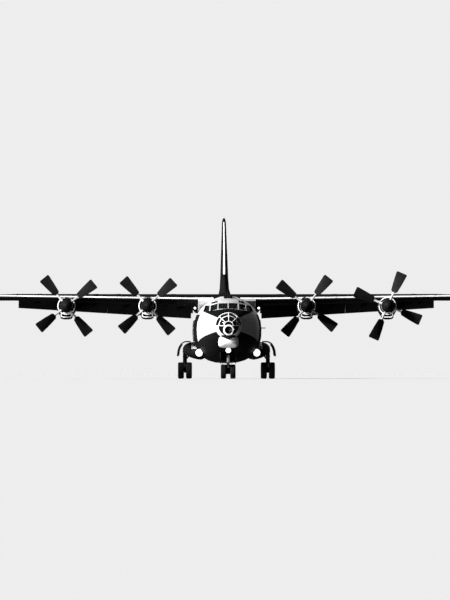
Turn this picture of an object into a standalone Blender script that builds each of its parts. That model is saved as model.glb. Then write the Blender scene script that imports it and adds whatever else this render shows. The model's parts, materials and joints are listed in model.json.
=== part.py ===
"""Four-engined, high-wing military transport plane, parked on its wheels with its flaps down.

Metres, +Z up, nose towards -Y, origin on the ground below the middle of the length.
Lengths along the plane are stations, measured aft from the nose tip.
The plane's left (port) side is +X.
"""

import math

import bmesh
import bpy
from mathutils import Matrix, Vector

# Driving dimensions of the whole plane.
LENGTH = 33.1
SPAN = 38.0
HEIGHT = 10.53
SEAT = 0.0003  # gap between two pieces that touch
RUN = 0.008  # gap round a piece that moves
PIN_RADIUS = 0.006  # hinge pins, slimmer than the running gap
PIN_ROOT = 0.05  # length of a pin inside its piece
FLAT = 1e-5  # how far a four-sided face may be from flat
WALL = 0.08  # fuselage skin, frames and lining

# Fuselage sections. The dome's centre height is also the first section's waist.
HULL_POINTS = 28
HULL = (
    # station, top, bottom, half_width, waist, belly power (above 2 is flatter than an ellipse)
    (0.95, 4.16, 2.48, 0.84, 3.32, 2.0),
    (1.45, 4.33, 2.13, 1.16, 3.30, 2.1),
    (2.05, 4.45, 1.72, 1.46, 3.20, 2.2),
    (2.60, 4.81, 1.45, 1.67, 3.14, 2.3),
    (3.20, 5.04, 1.26, 1.85, 3.12, 2.4),
    (4.00, 5.16, 1.11, 2.00, 3.12, 2.5),
    (4.60, 5.20, 1.05, 2.07, 3.12, 2.5),
    (5.20, 5.22, 1.00, 2.12, 3.12, 2.5),
    (7.00, 5.22, 1.00, 2.15, 3.12, 2.5),
    (18.60, 5.22, 1.00, 2.15, 3.12, 2.5),
    (20.50, 5.22, 1.22, 2.10, 3.18, 2.5),
    (22.50, 5.22, 1.64, 1.97, 3.36, 2.5),
    (24.50, 5.22, 2.09, 1.75, 3.58, 2.5),
    (26.60, 5.22, 2.56, 1.46, 3.80, 2.4),
    (28.70, 5.20, 3.00, 1.17, 4.02, 2.3),
    (31.00, 5.10, 3.40, 0.84, 4.22, 2.2),
    (32.60, 4.98, 3.55, 0.68, 4.27, 2.1),
    (33.10, 4.70, 3.80, 0.45, 4.25, 2.0),
)
DOME_TIP = 0.04
DOME_BASE = 0.95
COCKPIT_END = 5.20
CENTRE_END = 18.60
REAR_END = 31.00

# Glazed nose: rings of panes round the dome's axis, and the flat round aiming window below it.
DOME_RADIUS = 0.84
DOME_HEIGHT = 3.32
DOME_POINTS = HULL_POINTS
PANE_BAR = 0.045
PANES = (
    # inner_radius, outer_radius, first_angle, last_angle, panes
    (0.30, 0.585, 0.0, 180.0, 4),
    (0.625, 0.81, 0.0, 180.0, 4),
    (0.36, 0.62, 182.0, 222.0, 1),
    (0.36, 0.62, 318.0, 358.0, 1),
    (0.00, 0.265, 0.0, 180.0, 1),
)
PANE_STEP = 20.0  # degrees between a pane's points
AIM_RADIUS = 0.34
AIM_TUBE_END = 0.50
AIM_GLASS_RADIUS = 0.25
AIM_HEIGHT = 3.045
AIM_SIDES = 24
DOME_DEPTHS = (0.015, 0.10, 0.28, 0.58, 1.0)  # share of the dome's length, from its tip
DOME_WALL = 0.05
DOME_GLASS_WALL = 0.02

# Radome under the chin, with nearly square sections.
RADOME = (
    # station, half_width, low, high
    (0.72, 0.12, 2.28, 2.44),
    (0.80, 0.46, 2.10, 2.60),
    (1.00, 0.60, 1.98, 2.70),
    (1.40, 0.64, 1.93, 2.70),
    (1.95, 0.60, 1.95, 2.60),
)
RADOME_POINTS = 20
RADOME_POWER = 0.55  # 1 is an ellipse, and less is squarer

# Cockpit windows as seen from the front, right half, with the stations their cutters run between.
WINDOWS = (
    # station_from, station_to, corners (x, z)
    (1.6, 3.2, ((0.035, 4.41), (0.035, 4.75), (0.59, 4.73), (0.62, 4.37))),
    (1.8, 3.6, ((0.69, 4.36), (0.665, 4.715), (1.08, 4.60), (1.13, 4.25))),
    (2.3, 4.5, ((1.20, 4.24), (1.16, 4.60), (1.42, 4.60), (1.56, 4.22))),
    (2.4, 4.2, ((0.66, 4.80), (0.66, 4.90), (1.00, 4.82), (1.08, 4.74), (1.02, 4.71))),
)
GLASS_STATIONS = (1.45, 4.60)
GLASS_WALL = 0.03
GLASS_REACH = 6  # section points each side of the crown that the glass covers

# Wing: upper side level from root to the end of the flaps, outer panels drooping slightly.
WING = (
    # x, chord, nose_station, nose_height, thickness
    (0.00, 4.72, 10.75, 5.04, 0.155),
    (2.18, 4.72, 10.75, 5.04, 0.155),
    (13.35, 2.72, 12.08, 5.21, 0.155),
    (18.60, 1.78, 12.72, 5.12, 0.155),
    (18.93, 1.45, 12.84, 5.10, 0.12),
    (SPAN / 2, 1.10, 13.00, 5.08, 0.06),
)
WING_JOINT = 2.18
INCIDENCE = math.radians(4.0)
CAMBER = 0.02
FLAP_SPANS = ((2.22, 7.575), (7.605, 13.28))  # inner and outer end
FLAP_DOWN = math.radians(48.0)
FLAP_HINGE = (0.80, -0.10)  # chord fractions aft of the nose and above the chord line
FLAP_BRACKETS = (0.18, 0.82)  # share of each flap's span
BRACKET_THICKNESS = 0.05
FLAP_END_GAP = 0.03
FLAP_BAY_START = 2.13  # inside the wing centre, whose end the flap passes
ROOT_FAIRING = (
    # station, top inside the wing, bottom, of the fairing between the wing's underside and the fuselage
    (11.05, 4.95, 4.80),
    (11.60, 4.85, 4.36),
    (12.40, 4.85, 4.14),
    (14.20, 4.85, 4.14),
    (15.10, 4.745, 4.60),
)
ROOT_FAIRING_X = (1.20, 1.80, 2.02, 2.17)  # inner edge, foot, bulge, outer edge
ROOT_FAIRING_RISE = (0.12, 0.44)  # height of the bulge and of the outer edge, as shares of the section's
CROWN_FOOT = 4.80  # under the crown's skin
CROWN_SHOULDER = 0.06
CROWN_FLAT = 0.75  # share of the fairing's width that is flat
CROWN_FAIRING = (
    # station, half_width, top
    (3.30, 0.20, 5.10),
    (3.50, 0.27, 5.24),
    (4.70, 0.27, 5.30),
    (5.05, 0.18, 5.25),
)
AILERON_SPAN = (13.42, 18.45)
AILERON_HINGE = 0.735

# Engines: nacelle sections follow the lip, and every place is worked out from the propeller.
ENGINES = (
    # name, x, propeller_station, propeller angle
    ("right_outer", -10.20, 9.35, 39.0),
    ("right_inner", -5.05, 8.72, 42.7),
    ("left_inner", 5.05, 8.72, 51.6),
    ("left_outer", 10.20, 9.35, 66.4),
)
THRUST_HEIGHT = 4.62
NACELLE_POINTS = 16
NACELLE_WALL = 0.035
NOTCH_REACH = 1.2  # how far a nacelle's wing notch runs to each side
NACELLE_LIP = 0.33  # lip aft of the propeller's plane
NACELLE = (
    # aft of the lip, half_width, up, down
    (0.00, 0.510, 0.510, 0.510),
    (0.08, 0.560, 0.560, 0.590),
    (0.55, 0.600, 0.590, 0.700),
    (1.80, 0.610, 0.590, 0.800),
    (3.40, 0.510, 0.400, 0.770),
    (4.60, 0.330, -0.020, 0.640),
)
CHIN_SCOOP = (
    # aft of the lip, half_width, half_height, middle below the thrust line
    (0.03, 0.34, 0.185, 0.655),
    (0.20, 0.385, 0.205, 0.655),
    (1.10, 0.40, 0.19, 0.665),
    (2.60, 0.34, 0.10, 0.700),
)
CHIN_MOUTH = (0.29, 0.100, 0.580)  # half_width, half_height, middle below the thrust line
CHIN_MOUTH_DEPTH = 0.45
SCOOP_POINTS = 12
SCOOP_POWER = 0.7  # 1 is an ellipse, and less is squarer
HUB_HALF_LENGTH = 0.30
ENGINE = (
    # aft of the lip, radius, height of its axis above the thrust line
    (HUB_HALF_LENGTH + SEAT - NACELLE_LIP, 0.11, 0.0),
    (0.22, 0.11, 0.0),
    (0.22, 0.36, 0.0),
    (0.60, 0.41, 0.0),
    (1.90, 0.41, -0.02),
    (2.70, 0.26, -0.24),
    (4.45, 0.23, -0.33),
)
ENGINE_RING = (1.30, 1.36)  # mounting ring, aft of the lip
HUB_RADIUS = 0.43
SPINNER_LENGTH = 0.74
SPINNER_SHARES = (0.0, 0.4, 0.72, 0.92, 0.995)
BLADE = (
    # radius, chord, thickness, pitch in degrees
    (0.30, 0.160, 0.150, 50.0),
    (0.90, 0.175, 0.120, 38.0),
    (1.02, 0.500, 0.080, 34.0),
    (1.50, 0.620, 0.052, 26.0),
    (2.05, 0.710, 0.032, 18.0),
    (2.20, 0.730, 0.024, 16.0),
    (2.28, 0.640, 0.016, 15.0),
)

# Tail.
TAILPLANE = (
    # x, chord, nose_station, nose_height, thickness
    (0.00, 2.95, 28.00, 4.98, 0.12),
    (0.93, 2.95, 28.00, 4.98, 0.12),
    (5.95, 1.55, 29.20, 4.98, 0.12),
    (6.10, 1.10, 29.40, 4.98, 0.08),
)
ELEVATOR_SPAN = (0.97, 5.90)
ELEVATOR_HINGE = 0.67
TAIL_SLOT_REACH = 1.6  # half width of the slot cut through the fuselage and fin
FIN = (
    # z, nose_station, tail_station, thickness as a share of the chord
    (4.95, 20.6, 31.48, 0.090),
    (5.32, 22.6, 31.48, 0.099),
    (5.85, 25.1, 31.50, 0.097),
    (6.60, 26.1, 31.52, 0.097),
    (10.25, 28.75, 31.60, 0.092),
    (10.47, 29.05, 31.45, 0.070),
    (HEIGHT, 29.50, 31.00, 0.040),
)
RUDDER_HEIGHTS = (5.40, 10.20)
RUDDER_STATIONS = (29.35, 30.62)  # hinge line at those heights
RUDDER_END_GAP = 0.035  # the rudder's hinge leans aft, so its ends rise and sink a little as it turns

# Landing gear.
NOSE_GEAR_STATION = 3.00
NOSE_JOINT = 1.02  # height where the steered lower leg meets the leg
NOSE_FOOT = (0.08, 0.06, 0.03)  # brace foot: half width, depth, half height
NOSE_BLOCK = (0.11, 0.09, 0.13)  # axle block: half depth, below and above the axle
NOSE_DOOR = {"end_gap": 0.05, "thickness": 0.045, "top_gap": 0.03, "low": 0.95, "front": 1.14, "rake": 0.75}
MAIN_GEAR_STATION = 13.90
MAIN_GEAR_X = 2.65
BOGIE_HALF = 0.62
WHEEL_SIDES = 20
TYRE_SHOULDER = 0.25  # share of the tyre's width
TYRE_FLANK = 0.84  # share of its radius
HUB_DISH = 0.07  # depth of the wheel's dished face
HUB_SHARE = 0.85  # share of the rim's radius
BORE_REACH = 0.6
AXLE_CLEAR = 0.012  # between a block on an axle and the wheels beside it
NOSE_WHEEL = {"radius": 0.45, "width": 0.335, "gap": 0.26, "axle": 0.045, "rim": 0.23}
MAIN_WHEEL = {"radius": 0.525, "width": 0.375, "gap": 0.14, "axle": 0.055, "rim": 0.27}
BOGIE_BEAM_HALF_HEIGHT = 0.15
BOGIE_END = 0.10  # beam beyond its axles
NOSE_BAY = {"half_width": 0.50, "from": 2.20, "to": 3.90, "low": 0.50, "high": 1.95}
MAIN_BAY = {"inner": 2.25, "outer": 3.30, "from": 12.75, "to": 15.05, "low": 0.80, "high": 2.10}
SPONSON = (
    # station, centre_x, centre_z, half_width, rise, drop
    (10.30, 1.82, 1.62, 0.25, 0.25, 0.25),
    (10.42, 1.84, 1.64, 0.42, 0.36, 0.36),
    (11.00, 1.93, 1.74, 0.64, 0.46, 0.50),
    (12.20, 2.00, 1.85, 0.78, 0.50, 0.58),
    (15.90, 2.00, 1.85, 0.78, 0.50, 0.58),
    (17.60, 1.90, 1.76, 0.60, 0.42, 0.46),
    (19.20, 1.66, 1.70, 0.28, 0.22, 0.22),
)
SPONSON_SLOPE = 0.25  # how far the underside rises towards the outside
SPONSON_POINTS = 20
SPONSON_POWER = 0.85
MAIN_LEG = ((0.56, 0.075), (0.98, 0.075), (0.98, 0.135), (1.80, 0.135), (1.97, 0.15))  # height, radius
LAMP_PLACE = (1.82, 1.61)
LAMP_RADIUS = 0.23
LAMP_REACH = (-0.06, 0.40)  # from the fairing's front
MAIN_DOOR = ((2.45, 2.335), (2.65, 2.325), (2.84, 2.22), (2.97, 2.03), (3.05, 1.80), (3.09, 1.42))
DOOR_HINGE_X = 2.30
MAIN_DOOR_WALL = 0.075
MAIN_DOOR_INSET = 0.05  # from the bay's ends
WALL_FOOT = (0.08, 0.10)  # a brace's foot: half size along the wall, and its depth

# Freight hold and doors.
FLOOR_STATIONS = (7.0, 18.5)
FLOOR_TOP = 1.45
FLOOR_UNDERSIDE = 1.30
DOOR_FRONT_GAP = 0.03  # these doors swing forwards a little as they rise
LEAF_CENTRE_GAP = 0.03
LEAF = {"from": 18.75, "to": 25.50, "front_x": 1.38, "rear_x": 1.00}
AFT_DOOR = {"from": 25.64, "to": 28.40, "front_x": 0.76, "rear_x": 0.66}
CREW_DOOR = {"from": 6.00, "to": 6.85, "low": 1.55, "high": 3.15, "cut": (1.2, 2.6)}
DOOR_CUT = (0.20, 0.32)  # how far a freight door's cutter runs below and above the skin
DOOR_STEPS = 5  # flats across a door's skin


def along(station):
    """World y of a station measured aft from the nose tip."""
    return station - LENGTH / 2


def between(table, key):
    """The two rows of a table round a key of its first column, and how far along the key is."""
    for low, high in zip(table, table[1:]):
        if key <= high[0]:
            return low, high, max(0.0, (key - low[0]) / (high[0] - low[0]))
    return table[-2], table[-1], 1.0


def blend(table, key, column):
    """Value of a column at a key, straight between rows."""
    low, high, share = between(table, key)
    return low[column] + share * (high[column] - low[column])


def mixed(first, second, share):
    """Ring a share of the way from one ring to another."""
    return [Vector(a).lerp(Vector(b), share) for a, b in zip(first, second)]


def finish(name, colour, roughness, metallic):
    """One painted or bare finish."""
    material = bpy.data.materials.new(name)
    material.use_nodes = True
    shader = material.node_tree.nodes["Principled BSDF"]
    shader.inputs["Base Color"].default_value = (*colour, 1.0)
    shader.inputs["Roughness"].default_value = roughness
    shader.inputs["Metallic"].default_value = metallic
    return material


def make_finishes():
    """Every finish on the plane, by name."""
    table = (
        # name, colour, roughness, metallic
        ("pale_paint", (0.62, 0.63, 0.64), 0.35, 0.0),
        ("dark_paint", (0.035, 0.037, 0.04), 0.4, 0.0),
        ("glazing", (0.05, 0.07, 0.08), 0.05, 0.0),
        ("radome", (0.70, 0.69, 0.66), 0.5, 0.0),
        ("blade_paint", (0.03, 0.03, 0.032), 0.45, 0.0),
        ("gear_paint", (0.16, 0.17, 0.18), 0.4, 0.3),
        ("tyre", (0.02, 0.02, 0.02), 0.85, 0.0),
        ("engine_metal", (0.3, 0.29, 0.28), 0.4, 1.0),
        ("cabin_lining", (0.22, 0.24, 0.23), 0.7, 0.0),
    )
    return {name: finish(name, *values) for name, *values in table}


def mesh_object(name, build, material=None):
    """An object whose closed mesh is made by build(bmesh), with its faces pointing outwards."""
    work = bmesh.new()
    build(work)
    bmesh.ops.remove_doubles(work, verts=work.verts, dist=1e-5)
    bmesh.ops.recalc_face_normals(work, faces=work.faces)
    mesh = bpy.data.meshes.new(name)
    work.to_mesh(mesh)
    work.free()
    made = bpy.data.objects.new(name, mesh)
    bpy.context.collection.objects.link(made)
    if material:
        mesh.materials.append(material)
    return made


def add_quad(work, a, b, c, d):
    """A four-sided face, or two triangles along its shorter diagonal if it isn't flat."""
    across = (c.co - a.co).cross(d.co - b.co)
    if abs((b.co - a.co).dot(across)) <= FLAT * across.length:
        work.faces.new((a, b, c, d))
    elif (a.co - c.co).length < (b.co - d.co).length:
        work.faces.new((a, b, c))
        work.faces.new((a, c, d))
    else:
        work.faces.new((b, c, d))
        work.faces.new((b, d, a))


def add_loft(work, rings, loop=False):
    """Joins rings of equal length. A loop joins its last ring to its first, or else both ends are capped."""
    made = [[work.verts.new(point) for point in ring] for ring in rings]
    count = len(rings[0])
    pairs = list(zip(made, made[1:]))
    if loop:
        pairs.append((made[-1], made[0]))
    for first, second in pairs:
        for i in range(count):
            j = (i + 1) % count
            add_quad(work, first[i], first[j], second[j], second[i])
    if not loop:
        work.faces.new(made[0])
        work.faces.new(reversed(made[-1]))


def loft(name, rings, material=None, loop=False):
    """A closed object from one row of rings."""
    return mesh_object(name, lambda work: add_loft(work, rings, loop), material)


def lofts(name, rows, material=None):
    """One object from several separate rows of rings."""

    def build(work):
        for rings in rows:
            add_loft(work, rings)

    return mesh_object(name, build, material)


def hide(helper):
    """Marks a cutter or joining shape, which isn't a piece."""
    helper.hide_render = True
    helper.display_type = "WIRE"
    return helper


def combine(target, helper, operation):
    """Adds one exact Boolean of a hidden helper shape."""
    hide(helper)
    modifier = target.modifiers.new(operation.lower() + "_" + helper.name, "BOOLEAN")
    modifier.operation = operation
    modifier.solver = "EXACT"
    modifier.object = helper
    return target


def box_rings(low, high):
    """Two rings that make a box between its lowest and highest corners."""
    rings = []
    for y in (low[1], high[1]):
        rings.append([(low[0], y, low[2]), (high[0], y, low[2]), (high[0], y, high[2]), (low[0], y, high[2])])
    return rings


def rod_rings(start, end, start_radius, end_radius=None, sides=12):
    """Two rings that make a straight round rod."""
    start, end = Vector(start), Vector(end)
    turn = (end - start).to_track_quat("Z", "Y").to_matrix()
    rings = []
    for centre, radius in ((start, start_radius), (end, end_radius or start_radius)):
        ring = []
        for k in range(sides):
            angle = 2 * math.pi * (k + 0.5) / sides
            ring.append(centre + turn @ Vector((radius * math.cos(angle), radius * math.sin(angle), 0.0)))
        rings.append(ring)
    return rings


def column_rings(x, y, rows, sides=12):
    """Rings of an upright round column from rows of (z, radius)."""
    rings = []
    for z, radius in rows:
        angles = [2 * math.pi * (k + 0.5) / sides for k in range(sides)]
        rings.append([(x + radius * math.sin(angle), y + radius * math.cos(angle), z) for angle in angles])
    return rings


def squared_ring(half_width, half_height, power, points, first=0.0):
    """(sideways, up) points of a rounded section. A power of 1 is an ellipse, and less is squarer."""
    ring = []
    for k in range(points):
        angle = 2 * math.pi * (k + first) / points
        side, up = math.sin(angle), math.cos(angle)
        across = math.copysign(abs(side) ** power, side)
        rise = math.copysign(abs(up) ** power, up)
        ring.append((half_width * across, half_height * rise))
    return ring


def plate_rings(outline, low_x, high_x):
    """Two rings that make a plate from an outline of (y, z) points, between two x values."""
    return [[(x, y, z) for y, z in outline] for x in (low_x, high_x)]


def hull_frame(row, inset):
    """Fuselage section of one row of the table, moved inwards by inset."""
    station, top, bottom, half_width, waist, power = row
    ring = []
    for k in range(HULL_POINTS):
        angle = 2 * math.pi * k / HULL_POINTS
        side, up = math.sin(angle), math.cos(angle)
        if up >= 0:
            x = (half_width - inset) * side
            z = waist + (top - inset - waist) * up
        else:
            x = (half_width - inset) * math.copysign(abs(side) ** (2 / power), side)
            z = waist - (waist - bottom - inset) * abs(up) ** (2 / power)
        ring.append((x, along(station), z))
    return ring


def hull_ring(station, inset=0.0):
    """Fuselage section at a station, straight between the table's sections."""
    low, high, share = between(HULL, station)
    return mixed(hull_frame(low, inset), hull_frame(high, inset), share)


def hull_half_width(station, z, inset=0.0):
    """Half width of the faceted section at a height."""
    ring = hull_ring(station, inset)
    for (x0, _, z0), (x1, _, z1) in zip(ring, ring[1:]):
        if x0 >= 0 and x1 >= 0 and min(z0, z1) <= z <= max(z0, z1):
            return x0 + (x1 - x0) * (z - z0) / (z1 - z0)
    return 0.0


def hull_belly(station, x, inset=0.0):
    """Height of the faceted section's underside at a distance from the centre."""
    ring = hull_ring(station, inset)
    half = ring[HULL_POINTS // 4 : HULL_POINTS // 2 + 1]
    for (x0, _, z0), (x1, _, z1) in zip(half, half[1:]):
        if x1 <= abs(x) <= x0:
            return z0 + (z1 - z0) * (abs(x) - x0) / (x1 - x0)
    return half[-1][2]


def hull_stations(first, last):
    """First and last station and every table station between them."""
    inner = [row[0] for row in HULL if first + 1e-6 < row[0] < last - 1e-6]
    return [first, *inner, last]


def hull_shell(name, first, last, material):
    """Open-ended length of fuselage with the wall's thickness."""
    stations = hull_stations(first, last)
    outer = [hull_ring(s) for s in stations]
    inner = [hull_ring(s, WALL) for s in reversed(stations)]
    return loft(name, outer + inner, material, loop=True)


def dome_ring(depth, inset=0.0):
    """Ring of the glazed nose's dome. Depth runs from 0 at the tip to 1 at the base."""
    radius = (DOME_RADIUS - inset) * math.sqrt(1 - max(1 - depth, 0.0) ** 2)
    station = DOME_TIP + inset + depth * (DOME_BASE - DOME_TIP - inset)
    ring = []
    for k in range(DOME_POINTS):
        angle = 2 * math.pi * k / DOME_POINTS
        ring.append((radius * math.sin(angle), along(station), DOME_HEIGHT + radius * math.cos(angle)))
    return ring


def hull_solid(grow):
    """Helper: the whole outer form with its dome, slightly enlarged, to trim what stands on it."""
    rings = [dome_ring(depth, -grow) for depth in DOME_DEPTHS]
    rings += [hull_ring(s, -grow) for s in hull_stations(DOME_BASE, LENGTH)[1:]]
    return hide(loft("hull_form", rings))


def pane_rings(inner, outer, first, last):
    """Cutter for one pane of the dome, a wedge-shaped prism along y, or a half disc with no inner radius."""
    steps = max(3, round((last - first) / PANE_STEP))
    arcs = [(inner, range(steps + 1)), (outer, range(steps, -1, -1))]
    points = []
    for radius, angles in arcs if inner else arcs[1:]:
        trim = math.degrees(PANE_BAR / 2 / radius)
        for k in angles:
            angle = math.radians(first + trim + (last - first - 2 * trim) * k / steps)
            points.append((radius * math.cos(angle), DOME_HEIGHT + radius * math.sin(angle)))
    return [[(x, along(s), z) for x, z in points] for s in (DOME_TIP - 0.2, DOME_BASE - 0.12)]


def make_nose(finishes, hull_form):
    """Glazed nose, its glass and the radome under the chin."""
    depths = DOME_DEPTHS
    rings = [dome_ring(d) for d in depths] + [dome_ring(d, DOME_WALL) for d in reversed(depths)]

    def build(work):
        """Shell whose two poles are closed by flat caps."""
        count = len(depths)
        made = [[work.verts.new(point) for point in ring] for ring in rings]
        for first, second in zip(made, made[1:]):
            for i in range(DOME_POINTS):
                j = (i + 1) % DOME_POINTS
                add_quad(work, first[i], first[j], second[j], second[i])
        work.faces.new(made[0])
        work.faces.new(made[2 * count - 1])

    frame = mesh_object("nose_frame", build, finishes["pale_paint"])
    ends = [(0, along(s), AIM_HEIGHT) for s in (0.0, AIM_TUBE_END)]
    tube = loft("aim_tube", rod_rings(*ends, AIM_RADIUS, sides=AIM_SIDES))
    inside = loft("aim_tube_trim", [dome_ring(d, DOME_WALL / 2) for d in (*depths, 1.2)])
    combine(tube, inside, "DIFFERENCE")
    cutters = []
    for inner, outer, first, last, panes in PANES:
        step = (last - first) / panes
        cutters += [pane_rings(inner, outer, first + k * step, first + (k + 1) * step) for k in range(panes)]
    combine(frame, lofts("nose_panes", cutters), "DIFFERENCE")
    combine(frame, tube, "UNION")
    ends = [(0, along(s), AIM_HEIGHT) for s in (DOME_TIP - 0.2, AIM_TUBE_END + 0.1)]
    bore = rod_rings(*ends, AIM_GLASS_RADIUS, sides=AIM_SIDES)
    combine(frame, loft("aim_bore", bore), "DIFFERENCE")

    inset = DOME_WALL + SEAT
    outer = [dome_ring(d, inset) for d in depths]
    inner = [dome_ring(d, inset + DOME_GLASS_WALL) for d in reversed(depths)]

    def build_glass(work):
        """Thin dome behind the frame, open at its base."""
        made = [[work.verts.new(point) for point in ring] for ring in outer + inner]
        for first, second in zip(made, made[1:]):
            for i in range(DOME_POINTS):
                j = (i + 1) % DOME_POINTS
                add_quad(work, first[i], first[j], second[j], second[i])
        work.faces.new(made[0])
        work.faces.new(made[-1])

    mesh_object("nose_glass", build_glass, finishes["glazing"])

    rings = []
    for station, half_width, low, high in RADOME:
        middle, half_height = (low + high) / 2, (high - low) / 2
        section = squared_ring(half_width, half_height, RADOME_POWER, RADOME_POINTS)
        rings.append([(x, along(station), middle + z) for x, z in section])
    radome = loft("chin_radome", rings, finishes["radome"])
    combine(radome, hull_form, "DIFFERENCE")


def window_rings(window, sign):
    """Cutter for one cockpit window, a prism along y."""
    first, last, corners = window
    return [[(sign * x, along(s), z) for x, z in corners] for s in (first, last)]


def make_crown_fairing(finishes, hull_form):
    """Low fairing on the crown behind the cockpit windows."""
    rings = []
    for s, half, top in CROWN_FAIRING:
        right = [(half, CROWN_FOOT), (half, top - CROWN_SHOULDER), (half * CROWN_FLAT, top)]
        section = right + [(-x, z) for x, z in reversed(right)]
        rings.append([(x, along(s), z) for x, z in section])
    combine(loft("crown_fairing", rings, finishes["dark_paint"]), hull_form, "DIFFERENCE")


def make_fuselage(finishes, hull_form):
    """Front, centre and rear fuselage shells with their openings, tail cone, deck, floor and glass."""
    front = hull_shell("cockpit_section", DOME_BASE + SEAT, COCKPIT_END, finishes["pale_paint"])
    cutters = [window_rings(window, sign) for window in WINDOWS for sign in (1, -1)]
    combine(front, lofts("window_cutters", cutters), "DIFFERENCE")
    half = NOSE_BAY["half_width"]
    low = (-half, along(NOSE_BAY["from"]), NOSE_BAY["low"])
    high = (half, along(NOSE_BAY["to"]), NOSE_BAY["high"])
    bay = box_rings(low, high)
    combine(front, loft("nose_bay_cutter", bay), "DIFFERENCE")

    stations = hull_stations(*GLASS_STATIONS)
    shell = []
    for inset, order in ((WALL + SEAT, stations), (WALL + GLASS_WALL, stations[::-1])):
        for s in order:
            ring = hull_ring(s, inset)
            shell.append([ring[k % HULL_POINTS] for k in range(-GLASS_REACH, GLASS_REACH + 1)])
    rows = len(stations)
    mesh_object("cockpit_glass", lambda work: add_strip_shell(work, shell, rows), finishes["glazing"])

    centre = hull_shell("centre_fuselage", COCKPIT_END + SEAT, CENTRE_END - SEAT, finishes["pale_paint"])
    inside, outside = CREW_DOOR["cut"]
    low = (inside, along(CREW_DOOR["from"] - RUN), CREW_DOOR["low"] - RUN)
    high = (outside, along(CREW_DOOR["to"] + RUN), CREW_DOOR["high"] + RUN)
    opening = box_rings(low, high)
    combine(centre, loft("crew_door_cutter", opening), "DIFFERENCE")

    rear = hull_shell("rear_fuselage", CENTRE_END, REAR_END - SEAT, finishes["pale_paint"])
    combine(rear, lofts("freight_door_cutter", [door_cutter(LEAF), door_cutter(AFT_DOOR)]), "DIFFERENCE")

    stations = hull_stations(REAR_END, LENGTH)
    loft("tail_cone", [hull_ring(s) for s in stations], finishes["pale_paint"])

    make_crown_fairing(finishes, hull_form)
    make_deck(finishes)
    section = []
    for z in (FLOOR_UNDERSIDE, FLOOR_TOP):
        section.append((hull_half_width(FLOOR_STATIONS[0], z, WALL) - 2 * SEAT, z))
    section += [(-x, z) for x, z in reversed(section)]
    rings = [[(x, along(s), z) for x, z in section] for s in FLOOR_STATIONS]
    loft("freight_floor", rings, finishes["cabin_lining"])
    return centre, rear


def add_strip_shell(work, rows, count):
    """Closed thin sheet from open rows: the first count rows are outside, the rest inside in reverse."""
    made = [[work.verts.new(point) for point in row] for row in rows]
    closed = made + [made[0]]
    for first, second in zip(closed, closed[1:]):
        for a, b, c, d in zip(first, first[1:], second[1:], second):
            add_quad(work, a, b, c, d)
    total = len(made)
    for edge in (0, -1):
        for k in range(count - 1):
            a, b = made[k][edge], made[k + 1][edge]
            c, d = made[total - 2 - k][edge], made[total - 1 - k][edge]
            add_quad(work, a, b, c, d)


def make_deck(finishes):
    """Cockpit bulkhead with the two decks and the instrument panel in front of it."""
    deck = loft("flight_deck", box_rings((-3, along(4.98), 0), (3, along(5.06), 6)), finishes["cabin_lining"])
    upper = ((2.50, 3.02), (5.0, 3.02), (5.0, 3.10), (2.50, 3.10))
    lower = ((1.9, 2.10), (5.0, 2.10), (5.0, 2.18), (1.9, 2.18))
    panel = ((2.54, 3.05), (2.66, 3.05), (2.62, 3.90), (2.52, 4.05), (2.46, 4.0))
    seat = ((3.35, 3.09), (3.85, 3.09), (3.90, 3.45), (4.10, 4.30), (3.98, 4.32), (3.78, 3.62), (3.32, 3.55))
    plates = (
        # name, outline (station, z), places in x, half width
        ("upper_deck", upper, (0.0,), 3.0),
        ("lower_deck", lower, (0.0,), 3.0),
        ("instrument_panel", panel, (0.0,), 1.0),
        ("crew_seats", seat, (-0.62, 0.62), 0.25),
    )
    for name, outline, places, half in plates:
        points = [(along(s), z) for s, z in outline]
        combine(deck, lofts(name, [plate_rings(points, x - half, x + half) for x in places]), "UNION")
    edge = WALL + 2 * SEAT
    combine(deck, loft("cabin_form", [hull_ring(s, edge) for s in hull_stations(1.45, 5.20)]), "INTERSECT")


def door_edge(door, station):
    """Half width of a freight door at a station."""
    share = (station - door["from"]) / (door["to"] - door["from"])
    return door["front_x"] + share * (door["rear_x"] - door["front_x"])


def door_cutter(door):
    """Opening for a freight door, with its running gap, straight up through the skin."""
    rings = []
    for s in (door["from"] - DOOR_FRONT_GAP, door["to"] + RUN):
        edge = door_edge(door, s) + RUN
        low, high = hull_belly(s, 0.0) - DOOR_CUT[0], hull_belly(s, edge) + DOOR_CUT[1]
        corners = [(-edge, low), (edge, low), (edge, high), (-edge, high)]
        rings.append([(x, along(s), z) for x, z in corners])
    return rings


def door_skin(door, low_share, high_share):
    """Rings across a freight door: closed outlines of the skin between two shares of its half width."""
    rings = []
    for s in hull_stations(door["from"], door["to"]):
        edge = door_edge(door, s)
        shares = [low_share + (high_share - low_share) * k / DOOR_STEPS for k in range(DOOR_STEPS + 1)]
        outer = [(edge * share, along(s), hull_belly(s, edge * share)) for share in shares]
        inner = [(edge * share, along(s), hull_belly(s, edge * share, WALL)) for share in reversed(shares)]
        rings.append(outer + inner)
    return rings


def leaf_hinge(sign):
    """Two points on a side leaf's hinge line, along the inner face of its outer edge."""
    return [
        Vector((sign * door_edge(LEAF, s), along(s), hull_belly(s, door_edge(LEAF, s), WALL)))
        for s in (LEAF["from"], LEAF["to"])
    ]


def hinge_pins(start, end, axis, gaps=(RUN, RUN)):
    """Two pins along a hinge line, from inside the piece to the far side of the gap at that end.

    The gaps are measured along a world axis (0, 1 or 2). A slanted pin stops where its rim would touch.
    """
    rows = []
    for point, other, gap in ((start, end, gaps[0]), (end, start, gaps[1])):
        run = (point - other) / abs(point[axis] - other[axis])
        rim = PIN_RADIUS * math.sqrt(1 - 1 / run.length_squared) if run.length_squared > 1 else 0.0
        rows.append(rod_rings(point - run * PIN_ROOT, point + run * (gap - SEAT - rim), PIN_RADIUS, sides=8))
    return rows


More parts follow.
